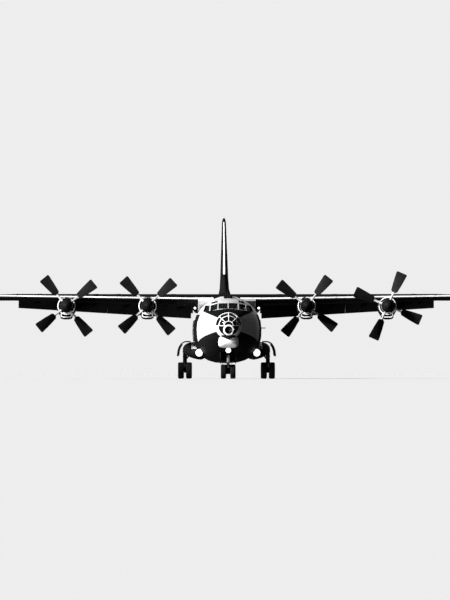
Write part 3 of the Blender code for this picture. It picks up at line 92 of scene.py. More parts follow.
CAD_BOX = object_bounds()

Piece = bpy.types.Object
Material = bpy.types.Material
Socket = bpy.types.NodeSocket
Colour = tuple[float, float, float]
Point = tuple[float, float, float]
Flat = tuple[float, float]
Ray = tuple[Point, Point]
Stud = tuple[float, float, float, float]  # spacing, radius of foot and top, height
Spot = tuple[Vector, Vector]  # a place on a surface, and the way the surface faces there
Route = list[Spot]

LENGTH = 33.1
TURN = 2.0 * math.pi
MERGE = 1e-4  # points this near each other are one point
FINE = 1e-6
SKIN_CREASE = 32.0  # degrees
RECIPE_CREASE = 30.0
CREASE = 35.0
SOFT, DOMED = 40.0, 60.0  # creases of curved plates and of domes
CLEAR, REACH = 4.0, 3.9  # how far outside the hull a ray starts, and how far it goes
FAR = 6.0  # how far a plumb ray onto the hull goes
AHEAD = (-2.0, 8.0)  # station where rays from in front of the nose start, and how far they go
WAIST = (3.12, 18.6, 0.078)  # height of the hull's middle, and the station and slope of its rise to the tail
OVER, UNDER = (8.0, -1.0), (-1.0, 1.0)  # where plumb rays over the crown and under the belly start, and their way
ACROSS, AFT, UP = (1.0, 0.0, 0.0), (0.0, 1.0, 0.0), (0.0, 0.0, 1.0)
SIGNS = (-1.0, 1.0)
AIRFRAME = "airframe"

PALE = (0.46, 0.465, 0.47)
# BRIGHT is also a lighter copy of PALE for the skins' strips and root fairing: painted light that makes up for the
# little light falling on them.
BRIGHT = (0.82, 0.82, 0.82)
# Near-black of the dark paint and the seam lines, and of the painted shade on the body's sides and belly and under
# the dome's aim ring.
BLACK_PAINT_AND_SHADE = (0.0040, 0.0040, 0.0045)
GRIME = (0.10, 0.095, 0.085)
CHALK = (0.75, 0.75, 0.74)
PAINT_GLOSS = 0.04  # specular level of the service paint


def along(station: float) -> float:
    """World y of a station measured aft from the nose tip."""
    return station - LENGTH / 2.0


def waist(station: float) -> Vector:
    """The middle of the fuselage at a station."""
    height, kink, rise = WAIST
    return Vector((0.0, along(station), height + max(0.0, station - kink) * rise))


def spread(first: float, last: float, count: int) -> list[float]:
    """Evenly spaced values, both ends included."""
    return [first + (last - first) * index / (count - 1) for index in range(count)]


def turn(steps: int, whole: bool = False) -> list[Flat]:
    """Cosines and sines of evenly spaced angles; a whole turn ends where it began."""
    angles = [TURN * step / steps for step in range(steps + whole)]
    return [(math.cos(angle), math.sin(angle)) for angle in angles]


def axes_of(direction: Point) -> tuple[Vector, Vector, Vector]:
    """Finds two directions across a line.

    Args:
        direction: the line's direction.

    Returns:
        The line's own direction and the two across it, all of length 1.
    """
    line = Vector(direction).normalized()
    side = line.orthogonal().normalized()
    return line, side, line.cross(side)


def level(side: float, station: float, z: float, start: float = CLEAR) -> Ray:
    """A level ray that comes in from one side."""
    return (side * start, along(station), z), (-side, 0.0, 0.0)


def plumb(x: float, station: float, start: float, way: float = -1.0) -> Ray:
    """A ray that comes straight down, or up where way is 1."""
    return (x, along(station), start), (0.0, 0.0, way)


def head_on(x: float, z: float) -> tuple[Point, Point, float]:
    """A ray from in front of the nose, and its reach."""
    return (x, along(AHEAD[0]), z), AFT, AHEAD[1]


def fan(middle: Vector, steps: int, start: float = 0.0) -> list[Ray]:
    """Rays in a turn across the aircraft: outwards from its middle, or inwards from this far out."""
    ways = [Vector((sine, 0.0, cosine)) for cosine, sine in turn(steps, True)]
    return [(middle + way * start, -way) if start else (middle, way) for way in ways]


def sloped(edge: Point, place: float) -> float:
    """The station of a straight edge at a place, from its root's place, its station there and its sweep."""
    return edge[1] + (place - edge[0]) * edge[2]


class Side(Enum):
    """The two sides of the aircraft, with the sign of their x."""

    STARBOARD = -1
    PORT = 1

    @property
    def word(self) -> str:
        """The word that the CAD's names use for this side."""
        return "left" if self is Side.PORT else "right"


class Slot(Enum):
    """Material slots of the record."""

    PALE = "pale_paint"
    COCKPIT = "cockpit_paint"
    DARK = "dark_paint"
    TAIL = "tail_paint"
    TAIL_CONE = "tail_cone_paint"
    GLAZING = "glazing"
    RADOME = "radome"
    BLADE = "blade_paint"
    GEAR = "gear_paint"
    TYRE = "tyre"
    METAL = "engine_metal"
    LINING = "cabin_lining"


class Zone(Enum):
    """How pale and dark paint, painted shade and a painted highlight share a skin."""

    PALE = "pale all over"
    DARK = "dark all over"
    # BODY and NOSE: the dark band on the sides is painted shade, and the dark belly is two-tone paint that also
    # stands in for the shade under the fuselage.
    BODY = "pale body, dark belly and a dark flash on its sides"
    NOSE = "as the body, with a dark panel below the windows"
    # DOME: the dark foot under the aim ring is painted shadow.
    DOME = "pale ribs over a dark foot"
    WING = "pale strip along the nose of the wing"
    ROOT = "pale fairing with dark shoulders"
    FIN = "pale strip along the nose of the fin"
    SPONSON = "pale shoulder in front"
    # BLADE: the pale shank is a painted highlight along the blade roots.
    BLADE = "pale shank on a dark blade"


class NodeSheet:
    """A node tree, with what adds nodes to it and feeds their inputs."""

    def __init__(self, tree: bpy.types.NodeTree) -> None:
        """Keeps the tree."""
        self.tree = tree

    def node(self, kind: str, settings: dict | None = None, inputs: dict | None = None) -> bpy.types.Node:
        """Adds one node.

        Args:
            kind: the node's type.
            settings: its properties, set before its sockets.
            inputs: values, signals or sockets for its inputs, by name or number.

        Returns:
            The node.
        """
        made = self.tree.nodes.new(kind)
        for key, value in (settings or {}).items():
            setattr(made, key, value)
        for key, value in (inputs or {}).items():
            self.feed(made.inputs[key], value)
        return made

    def feed(self, socket: Socket, value: object) -> None:
        """Links a socket to what feeds it, or sets its value.

        Args:
            socket: the input.
            value: a signal, another node's socket or a plain value.
        """
        if isinstance(value, (Signal, Socket)):
            self.tree.links.new(getattr(value, "socket", value), socket)
        elif isinstance(value, tuple) and len(value) == 3 and socket.type == "RGBA":
            socket.default_value = (*value, 1.0)
        else:
            socket.default_value = value


class Signal:
    """A socket of a material, with the arithmetic that the finishes use."""

    def __init__(self, sheet: "FinishSheet", socket: Socket) -> None:
        """Keeps the socket and the sheet that it is on."""
        self.sheet, self.socket = sheet, socket

    def maths(self, operation: str, *others: "Signal | float", first: float | None = None) -> "Signal":
        """Adds one Math node.

        Args:
            operation: the Math node's operation.
            others: what follows this signal in its sockets.
            first: what takes the first socket, where this signal is the second.

        Returns:
            The node's result.
        """
        values = (first, self) if first is not None else (self, *others)
        return self.sheet.signal("ShaderNodeMath", {"operation": operation}, dict(enumerate(values)))

    def __add__(self, other: "Signal | float") -> "Signal":
        """Sum."""
        return self.maths("ADD", other)

    def __sub__(self, other: "Signal | float") -> "Signal":
        """Difference."""
        return self.maths("SUBTRACT", other)

    def __rsub__(self, other: float) -> "Signal":
        """Difference, the other way round."""
        return self.maths("SUBTRACT", first=other)

    def __mul__(self, other: "Signal | float") -> "Signal":
        """Product."""
        return self.maths("MULTIPLY", other)

    __radd__, __rmul__ = __add__, __mul__

    def __gt__(self, other: "Signal | float") -> "Signal":
        """1 where this is more."""
        return self.maths("GREATER_THAN", other)

    def __lt__(self, other: "Signal | float") -> "Signal":
        """1 where this is less."""
        return self.maths("LESS_THAN", other)

    def size(self) -> "Signal":
        """Absolute value."""
        return self.maths("ABSOLUTE")

    def most(self, other: "Signal | float") -> "Signal":
        """The larger of the two."""
        return self.maths("MAXIMUM", other)

    def reach(self, other: "Signal") -> "Signal":
        """How far a point with these two coordinates is from their origin."""
        return (self * self + other * other).maths("SQRT")

    def step(self, low: float, high: float) -> "Signal":
        """Rises smoothly from 0 at low to 1 at high."""
        inputs = {0: self, 1: low, 2: high, 3: 0.0, 4: 1.0}
        return self.sheet.signal("ShaderNodeMapRange", {"interpolation_type": "SMOOTHSTEP"}, inputs)

    def seam(self, spacing: float, width: float) -> "Signal":
        """1 on thin lines this far apart, and 0 between them."""
        return self.maths("PINGPONG", spacing / 2.0) < width / 2.0


class FinishSheet(NodeSheet):
    """One material with a Principled shader, and the patterns that finishes share."""

    def __init__(self, name: str, centre: Point = (0.0, 0.0, 0.0)) -> None:
        """Makes the material.

        Args:
            name: the material's name.
            centre: the point that Object coordinates are measured from.
        """
        self.material = bpy.data.materials.new(name)
        self.material.use_nodes = True
        super().__init__(self.material.node_tree)
        self.tree.nodes.clear()
        self.shader = self.node("ShaderNodeBsdfPrincipled")
        self.node("ShaderNodeOutputMaterial", inputs={"Surface": self.shader.outputs[0]})
        source = self.node("ShaderNodeTexCoord").outputs["Object"]
        inputs = {"Vector": source, "Location": tuple(-value for value in centre)}
        self.place = self.node("ShaderNodeMapping", inputs=inputs).outputs[0]

    def set(self, **values: object) -> None:
        """Sets or links the shader's own sockets; an underscore in a name stands for a space."""
        for key, value in values.items():
            self.feed(self.shader.inputs[key.replace("_", " ")], value)

    def signal(self, kind: str, settings: dict, inputs: dict) -> Signal:
        """Adds one node and takes its first output."""
        return Signal(self, self.node(kind, settings, inputs).outputs[0])

    def axes(self) -> list[Signal]:
        """The x, y and z of a point of the surface."""
        parts = self.node("ShaderNodeSeparateXYZ", inputs={0: self.place}).outputs
        return [Signal(self, part) for part in parts]

    def noise(self, scale: float, detail: float = 3.0, stretch: Point = (1.0, 1.0, 1.0)) -> Signal:
        """Noise round 0.5.

        Args:
            scale: features per metre.
            detail: octaves.
            stretch: how much finer it is along each axis.

        Returns:
            The noise.
        """
        mapped = self.node("ShaderNodeMapping", inputs={"Vector": self.place, "Scale": stretch})
        inputs = {"Vector": mapped.outputs[0], "Scale": scale, "Detail": detail}
        return self.signal("ShaderNodeTexNoise", {"noise_dimensions": "3D"}, inputs)

    def panels(self, sizes: Point) -> Signal:
        """A tone from 0 to 1 for each sheet of skin, which is this big."""
        snapped = self.node("ShaderNodeVectorMath", {"operation": "SNAP"}, {0: self.place, 1: sizes})
        return self.signal("ShaderNodeTexWhiteNoise", {"noise_dimensions": "3D"}, {"Vector": snapped.outputs[0]})

    def coats(self, colour: object, *layers: tuple[Signal | float, Colour]) -> Socket:
        """Lays colours over a first one.

        Args:
            colour: the first colour.
            layers: the share and the colour of each coat.

        Returns:
            The last colour's socket.
        """
        for share, tone in layers:
            colour = self.node("ShaderNodeMix", {"data_type": "RGBA"}, {0: share, 6: colour, 7: tone}).outputs[2]
        return colour

    def bump(self, height: Signal, depth: float) -> None:
        """Raises the surface by height times depth metres."""
        inputs = {"Height": height, "Distance": depth, "Strength": 1.0}
        self.set(Normal=self.node("ShaderNodeBump", inputs=inputs).outputs[0])


@dataclass(frozen=True)
class AirframePaint:
    """Service paint on riveted skin: panel seams, dust, streaks and specks."""

    name: str
    zone: Zone
    pale: Colour = PALE
    dark: Colour = BLACK_PAINT_AND_SHADE
    roughness: float = 0.55
    centre: Point = (0.0, 0.0, 0.0)
    sheets: Point = (1.15, 1.30, 0.62)
    seam: Flat = (0.014, 0.012)

    def dark_share(self, sheet: FinishSheet) -> Signal | float:
        """Where this zone is dark; the dark includes painted shade on the body, the nose and the dome, and the pale a
        painted highlight on the blades.

        Args:
            sheet: the material's sheet.

        Returns:
            1 on the dark paint and the painted shade, and 0 on the pale paint and the painted highlight.
        """
        x, y, z = sheet.axes()
        out = x.size()
        if self.zone in (Zone.PALE, Zone.DARK):
            return float(self.zone is Zone.DARK)
        if self.zone is Zone.BLADE:
            # The pale shank inside this radius is a painted highlight along the blade roots.
            shank = (0.92, 0.96)
            return x.reach(z).step(*shank)
        if self.zone is Zone.DOME:
            # The dark foot under the aim ring is painted shadow; the dark bowl over the lower half widens the lower
            # pane.
            ring_height, ring_radius, shadow_arc_top, shadow_arc_half = 3.045, 0.345, 2.73, 0.45
            bowl_height, bowl_radius, bowl_top = 3.32, 0.64, 3.295
            ring = out.reach(z - ring_height) < ring_radius
            bowl = (out.reach(z - bowl_height) < bowl_radius) * (z < bowl_top)
            foot = (z < shadow_arc_top) * (out < shadow_arc_half)
            return bowl.most(foot) * (1.0 - ring)
        if self.zone is Zone.WING:
            root, start, height, dihedral, sweep = 2.18, along(10.75), 5.04, 0.0152, 0.119
            depth, low, high = 0.22, 0.03, 0.115
            nose = height + (out - root) * dihedral
            front = y < (out - root) * sweep + start + depth
            return 1.0 - front * (z > nose + low) * (z < nose + high)
        if self.zone is Zone.ROOT:
            ledge, shoulder, rear = 5.05, 1.83, along(12.4)
            low, high, inner, edge = 5.07, 5.165, 0.86, along(10.97)
            fairing = (z < ledge) * (out < shoulder) * (y < rear)
            strip = (z > low) * (z < high) * (out > inner) * (y < edge)
            return 1.0 - fairing.most(strip)
        if self.zone is Zone.FIN:
            foot, top, half, taper = 6.8, 10.25, 0.080, 0.0103
            root, start, sweep, depth = 6.6, along(26.1), 0.726, 0.34
            rise = z - foot
            front = y < (z - root) * sweep + start + depth
            return 1.0 - front * (out < half - rise * taper) * (rise > 0.0) * (z < top)
        if self.zone is Zone.SPONSON:
            low, outer, rear = 1.90, 2.26, along(11.6)
            return 1.0 - (z > low) * (out < outer) * (y < rear)
        # The dark belly, below a line that falls from the chin to the keel and rises towards the tail, is two-tone
        # paint that also stands in for the shade under the fuselage: partly paint scheme, partly painted shade.
        keel, chin, chin_start, chin_fall = 2.30, 2.90, along(1.2), 0.214
        tail_start, tail_rise = along(18.0), 0.126
        # The dark band on the fuselage's sides, aft of station 3.85 and below z 4.04, is painted shade: it stands in
        # for the shaded side of the hull.
        shade_band_front, shade_band_rear, shade_band_lean, shade_band_top = along(3.85), along(10.3), 0.6, 4.04
        falling = (chin - (y - chin_start) * chin_fall).most(keel)
        rising = (y - tail_start) * tail_rise + keel
        painted_shade_band = (y > shade_band_front) * (y < shade_band_rear - z * shade_band_lean) * (z < shade_band_top)
        belly = (z < falling.most(rising)).most(painted_shade_band)
        if self.zone is Zone.BODY:
            return belly
        sill, sill_out, sill_rise, brow, brow_fall, rear = 3.87, 0.80, 0.4615, 4.41, 0.13, along(3.3)
        above = z > (out - sill_out) * sill_rise + sill
        below = z < brow - out * brow_fall
        return belly.most(above * below * (y < rear))

    def make(self) -> Material:
        """Builds the material."""
        sheet = FinishSheet(self.name, self.centre)
        x, y, z = sheet.axes()
        dark = self.dark_share(sheet)
        dirt = 1.0 - dark * 0.78
        cloud, fleck = sheet.noise(0.55, 4.0), sheet.noise(14.0, 2.0)
        streak = sheet.noise(1.0, 3.0, (5.0, 0.35, 5.0))
        wide, long, tall = self.sheets
        wide_seam, flat_seam = self.seam
        seams = (x + wide / 2.0).seam(wide, wide_seam).most(y.seam(long, wide_seam)).most(z.seam(tall, flat_seam))
        colour = sheet.coats(
            self.pale,
            (dark, self.dark),
            (sheet.panels(self.sheets) * 0.10 * dirt, GRIME),
            (cloud.step(0.35, 0.75) * 0.20 * dirt, GRIME),
            (streak.step(0.55, 0.80) * 0.14 * dirt, GRIME),
            (fleck.step(0.66, 0.78) * 0.05 * dirt, CHALK),
            (seams * 0.45, BLACK_PAINT_AND_SHADE),
        )
        rough = cloud * 0.22 + (self.roughness - 0.08)
        sheet.set(Base_Color=colour, Roughness=rough, Specular_IOR_Level=PAINT_GLOSS)
        sheet.bump(1.0 - seams + fleck * 0.06, 0.0025)
        return sheet.material


@dataclass(frozen=True)
class GlassFinish:
    """Dark tinted acrylic with dust in it."""

    name: str
    tint: Colour = (0.006, 0.0065, 0.007)
    dust: Colour = (0.12, 0.12, 0.12)
    alpha: float = 0.88

    def make(self) -> Material:
        """Builds the material."""
        sheet = FinishSheet(self.name)
        cloud = sheet.noise(3.0, 4.0)
        colour = sheet.coats(self.tint, (cloud.step(0.55, 0.85) * 0.05, self.dust))
        sheet.set(Base_Color=colour, Roughness=cloud * 0.10 + 0.03, Alpha=self.alpha, Specular_IOR_Level=0.3)
        return sheet.material


@dataclass(frozen=True)
class RubberFinish:
    """Tyre rubber with dust in its grooves and on its flanks."""

    name: str
    colour: Colour = (0.005, 0.005, 0.005)
    dust: Colour = (0.03, 0.028, 0.026)

    def make(self) -> Material:
        """Builds the material."""
        sheet = FinishSheet(self.name)
        cloud = sheet.noise(6.0, 4.0)
        colour = sheet.coats(self.colour, (cloud.step(0.45, 0.80) * 0.25, self.dust))
        sheet.set(Base_Color=colour, Roughness=cloud * 0.15 + 0.78, Specular_IOR_Level=0.12)
        sheet.bump(sheet.noise(160.0, 2.0), 0.0008)
        return sheet.material


@dataclass(frozen=True)
class MetalFinish:
    """Bare, plated or burnt metal."""

    name: str
    colour: Colour
    roughness: float
    metallic: float
    burn_share: float = 0.5
    burn: Colour = (0.03, 0.027, 0.024)

    def make(self) -> Material:
        """Builds the material."""
        sheet = FinishSheet(self.name)
        stain, brush = sheet.noise(2.5, 4.0), sheet.noise(1.0, 2.0, (90.0, 8.0, 90.0))
        burnt = (stain.step(0.45, 0.75) * self.burn_share, self.burn)
        colour = sheet.coats(self.colour, burnt, (brush.step(0.4, 0.9) * 0.15, (0.0, 0.0, 0.0)))
        sheet.set(Base_Color=colour, Roughness=stain * 0.25 + (self.roughness - 0.1), Metallic=self.metallic)
        sheet.bump(brush, 0.0006)
        return sheet.material


@dataclass(frozen=True)
class EnamelFinish:
    """Sprayed enamel on castings, legs and fittings, dusty and chipped."""

    name: str
    colour: Colour
    chip: Colour = (0.08, 0.08, 0.08)
    dust_share: float = 0.25
    chip_share: float = 0.35
    roughness: float = 0.55

    def make(self) -> Material:
        """Builds the material."""
        sheet = FinishSheet(self.name)
        cloud, chips = sheet.noise(3.0, 4.0), sheet.noise(26.0, 3.0)
        dust = (cloud.step(0.45, 0.80) * self.dust_share, GRIME)
        colour = sheet.coats(self.colour, dust, (chips.step(0.68, 0.74) * self.chip_share, self.chip))
        sheet.set(Base_Color=colour, Roughness=cloud * 0.25 + (self.roughness - 0.1), Specular_IOR_Level=0.16)
        sheet.bump(chips, 0.0012)
        return sheet.material


@dataclass(frozen=True)
class LampFinish:
    """Ribbed lamp glass with its reflector shining through."""

    name: str
    colour: Colour = (0.92, 0.92, 0.88)
    glow: float = 1.4
    rib: Colour = (0.55, 0.56, 0.58)

    def make(self) -> Material:
        """Builds the material."""
        sheet = FinishSheet(self.name)
        ribs = sheet.axes()[0].maths("PINGPONG", 0.02) * 50.0
        colour = sheet.coats(self.colour, (ribs * 0.12, self.rib))
        sheet.set(Base_Color=colour, Roughness=0.12, Emission_Color=colour, Emission_Strength=self.glow)
        sheet.bump(ribs, 0.002)
        return sheet.material


@dataclass(frozen=True)
class StudioFinish:
    """Matt studio floor."""

    name: str
    colour: Colour

    def make(self) -> Material:
        """Builds the material."""
        sheet = FinishSheet(self.name)
        darker = tuple(0.98 * value for value in self.colour)
        colour = sheet.coats(self.colour, (sheet.noise(0.05, 3.0), darker))
        sheet.set(Base_Color=colour, Roughness=0.95, Specular_IOR_Level=0.0)
        return sheet.material


class Finishes:
    """The finishes of the aircraft, each made once."""

    def __init__(self) -> None:
        """Makes the finishes that several sub-assemblies share."""
        # These zones take BRIGHT, a lighter copy of the pale paint: on the wing and fin strips and the root fairing
        # it is painted light, making up for the little light that falls on them.
        striped = (Zone.WING, Zone.ROOT, Zone.FIN, Zone.DOME)
        unbroken = (Zone.BODY, Zone.NOSE, Zone.PALE, Zone.DOME)  # no seams run along these
        self.skins = {}
        for zone in Zone:
            if zone is not Zone.BLADE:
                pale, wide = BRIGHT if zone in striped else PALE, 50.0 if zone in unbroken else 1.15
                paint = AirframePaint(f"skin_{zone.name.lower()}", zone, pale, sheets=(wide, 1.30, 0.62))
                self.skins[zone] = paint.make()
        self.dark, self.body = self.skins[Zone.DARK], self.skins[Zone.BODY]
        black = (0.005, 0.005, 0.0055)
        self.glass = GlassFinish("tinted_glass").make()
        self.rubber = RubberFinish("tyre_rubber").make()
        self.wheel = EnamelFinish("wheel_enamel", black, dust_share=0.06).make()
        self.leg = EnamelFinish("leg_enamel", black, dust_share=0.06).make()
        self.shadow = EnamelFinish("bay_paint", (0.02, 0.02, 0.02), dust_share=0.2).make()
        self.bright = EnamelFinish("bright_enamel", BRIGHT, (0.35, 0.35, 0.35), 0.05, 0.1).make()
        self.radome = EnamelFinish("radome_shell", (0.85, 0.85, 0.84), (0.5, 0.5, 0.49), 0.08, 0.12).make()
        self.lining = EnamelFinish("cabin_lining", (0.10, 0.11, 0.10), (0.2, 0.2, 0.2), 0.25, 0.2, 0.7).make()
        self.engine = MetalFinish("engine_metal", (0.012, 0.012, 0.013), 0.6, 0.5).make()
        self.chrome = MetalFinish("oleo_chrome", (0.62, 0.62, 0.63), 0.2, 1.0, 0.15).make()
        self.steel = MetalFinish("bare_steel", (0.42, 0.42, 0.43), 0.4, 0.9, 0.3).make()
        self.burnt = MetalFinish("exhaust_metal", (0.06, 0.05, 0.045), 0.6, 0.6).make()
        self.lamp = LampFinish("lamp_glass").make()
        self.red_lamp = LampFinish("lamp_red", (0.45, 0.015, 0.015), 0.1).make()
        self.green_lamp = LampFinish("lamp_green", (0.01, 0.30, 0.09), 0.1).make()


class Sketch:
    """Collects the faces of one piece and turns them into an object whose place is in its mesh."""

    def __init__(self, name: str) -> None:
        """Starts an empty piece."""
        self.name, self.mesh = name, bmesh.new()

    def loft(self, rings: Sequence[Sequence[Point]], closed: bool = False) -> "Sketch":
        """Joins rings of points with faces.

        Args:
            rings: rings with the same number of points.
            closed: whether the last ring joins the first; the ends get a face otherwise.

        Returns:
            This sketch.
        """
        rows = [[self.mesh.verts.new(point) for point in ring] for ring in rings]
        pairs = list(zip(rows, rows[1:]))
        if closed:
            pairs.append((rows[-1], rows[0]))
        for here, there in pairs:
            for index in range(len(here)):
                after = (index + 1) % len(here)
                self.mesh.faces.new((here[index], here[after], there[after], there[index]))
        if not closed:
            self.mesh.faces.new(list(reversed(rows[0])))
            self.mesh.faces.new(rows[-1])
        return self

    def lathe(
        self, profile: Iterable[Flat], origin: Point, axis: Point = AFT, steps: int = 40, closed: bool = False
    ) -> "Sketch":
        """Turns a profile round an axis.

        Args:
            profile: (place along the axis, radius) pairs.
            origin: the axis's origin.
            axis: the axis's direction.
            steps: points in a turn.
            closed: whether the profile closes on itself.

        Returns:
            This sketch.
        """
        centre, (line, side, other) = Vector(origin), axes_of(axis)
        ways = [cosine * side + sine * other for cosine, sine in turn(steps)]
        rings = [[centre + line * place + way * radius for way in ways] for place, radius in profile]
        return self.loft(rings, closed)

    def block(self, low: Point, high: Point) -> "Sketch":
        """Adds a block whose two ends are a little smaller than its middle.

        Args:
            low: its corner with the smallest coordinates.
            high: the corner with the largest.

        Returns:
            This sketch.
        """
        rings, chamfer = [], 0.006
        for share, inset in ((0.0, chamfer), (0.08, 0.0), (0.92, 0.0), (1.0, chamfer)):
            y = low[1] + (high[1] - low[1]) * share
            left, right = low[0] + inset, high[0] - inset
            foot, head = low[2] + inset, high[2] - inset
            rings.append([(left, y, foot), (right, y, foot), (right, y, head), (left, y, head)])
        return self.loft(rings)

    def bar(self, start: Point, end: Point, first: Flat, last: Flat, across: Point = ACROSS) -> "Sketch":
        """Adds a tapering bar with a rectangular section.

        Args:
            start: the middle of its first end.
            end: the middle of its last end.
            first: half width along the across direction, and half depth, at the start.
            last: the same at the end.
            across: the direction of its width.

        Returns:
            This sketch.
        """
        wide = Vector(across).normalized()
        deep = (Vector(end) - Vector(start)).cross(wide).normalized()
        rings = []
        for place, (half, thick) in ((Vector(start), first), (Vector(end), last)):
            corners = ((-1, -1), (1, -1), (1, 1), (-1, 1))
            rings.append([place + wide * half * sign + deep * thick * other for sign, other in corners])
        return self.loft(rings)

    def strap(self, route: Route, width: float, height: float, closed: bool = False) -> "Sketch":
        """Lays a flat strap along a route on a surface.

        Args:
            route: the places it passes and the way the surface faces there.
            width: the strap's width.
            height: how proud it stands.
            closed: whether it joins its own start.

        Returns:
            This sketch.
        """
        sunk, lean, last = 0.008, 0.86, len(route) - 1
        rings = []
        for index, (place, outward) in enumerate(route):
            ahead, behind = min(index + 1, last), max(index - 1, 0)
            if closed:
                ahead, behind = (index + 1) % len(route), index - 1
            edge = (route[ahead][0] - route[behind][0]).cross(outward).normalized() * (width / 2.0)
            foot, head = place - outward * sunk, place + outward * height
            rings.append([foot - edge, foot + edge, head + edge * lean, head - edge * lean])
        return self.loft(rings, closed) if last > 1 else self

    def straps(self, routes: Iterable[Route], width: float, height: float) -> None:
        """Lays a strap along each of these routes."""
        for route in routes:
            self.strap(route, width, height)

    def fin(self, spot: Spot, outline: Sequence[Flat], thickness: float) -> "Sketch":
        """Adds a thin blade that stands on a surface.

        Args:
            spot: where it stands, and the way the surface faces.
            outline: its points, as (aft, outwards).
            thickness: its thickness in the middle; its edges are a third of that.

        Returns:
            This sketch.
        """
        place, outward = spot
        side = Vector(AFT).cross(outward).normalized()
        run = outward.cross(side).normalized()
        middle = Vector((sum(point[0] for point in outline), sum(point[1] for point in outline))) / len(outline)
        rings = []
        for share, half in ((0.96, -0.5), (1.0, -0.16), (1.0, 0.16), (0.96, 0.5)):
            flats = [middle + (Vector(point) - middle) * share for point in outline]
            rings.append([place + run * flat[0] + outward * flat[1] + side * thickness * half for flat in flats])
        return self.loft(rings)

    def done(self, crease: float = CREASE) -> Piece:
        """Turns the sketch into an object.

        Args:
            crease: only edges sharper than this many degrees stay sharp.

        Returns:
            The object.
        """
        bmesh.ops.remove_doubles(self.mesh, verts=self.mesh.verts, dist=FINE)
        bmesh.ops.recalc_face_normals(self.mesh, faces=self.mesh.faces)
        made = stand(self.name, self.mesh)
        smooth(made.data, crease)
        return made


def place_in_scene(name: str, data: bpy.types.ID) -> bpy.types.Object:
    """Links a new object to the scene.

    Args:
        name: its name.
        data: its mesh, camera or light.

    Returns:
        The object.
    """
    made = bpy.data.objects.new(name, data)
    bpy.context.scene.collection.objects.link(made)
    return made


def stand(name: str, shape: bmesh.types.BMesh) -> Piece:
    """Puts a built mesh into the scene as an object at the origin.

    Args:
        name: the object's name.
        shape: the builder, which is freed.

    Returns:
        The object.
    """
    data = bpy.data.meshes.new(name)
    shape.to_mesh(data)
    shape.free()
    return place_in_scene(name, data)


def smooth(data: bpy.types.Mesh, crease: float) -> None:
    """Shades a mesh smooth, but not over edges sharper than crease degrees."""
    data.shade_smooth()
    data.set_sharp_from_angle(angle=math.radians(crease))


def freeze(made: Piece) -> None:
    """Turns an object and its modifiers into one plain mesh.

    Args:
        made: the object.
    """
    graph = bpy.context.evaluated_depsgraph_get()
    data = bpy.data.meshes.new_from_object(made.evaluated_get(graph))
    made.modifiers.clear()
    made.data = data


def dress(made: Piece, material: Material, slot: Slot, body: str = AIRFRAME, replaced: str | None = None) -> Piece:
    """Gives a piece its material and body.

    Args:
        made: the piece.
        material: its finish.
        slot: not used.
        body: the CAD body that it rides on.
        replaced: the CAD node that it stands for.

    Returns:
        The piece.
    """
    made.data.materials.clear()
    made.data.materials.append(material)
    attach(made, body)
    if replaced:
        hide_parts(replaced)
    return made


def body_of(node: str) -> str:
    """The body that a CAD node is in."""
    return frame["nodes"][node]["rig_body"]


def corners_of(node: str) -> list[Vector]:
    """The corners of a CAD node."""
    return [vertex.co.copy() for vertex in frame["nodes"][node].data.vertices]


def skin(node: str, material: Material, slot: Slot) -> Piece:
    """Replaces a CAD node with a merged and smoothly shaded copy of it.

    Args:
        node: the CAD node.
        material: the copy's finish.
        slot: the record's slot.

    Returns:
        The copy.
    """
    copy = bmesh.new()
    copy.from_mesh(frame["nodes"][node].data)
    bmesh.ops.remove_doubles(copy, verts=copy.verts, dist=MERGE)
    made = stand(f"{node}_skin", copy)
    smooth(made.data, SKIN_CREASE)
    made.modifiers.new("weighted", "WEIGHTED_NORMAL").keep_sharp = True
    freeze(made)
    return dress(made, material, slot, body_of(node), node)


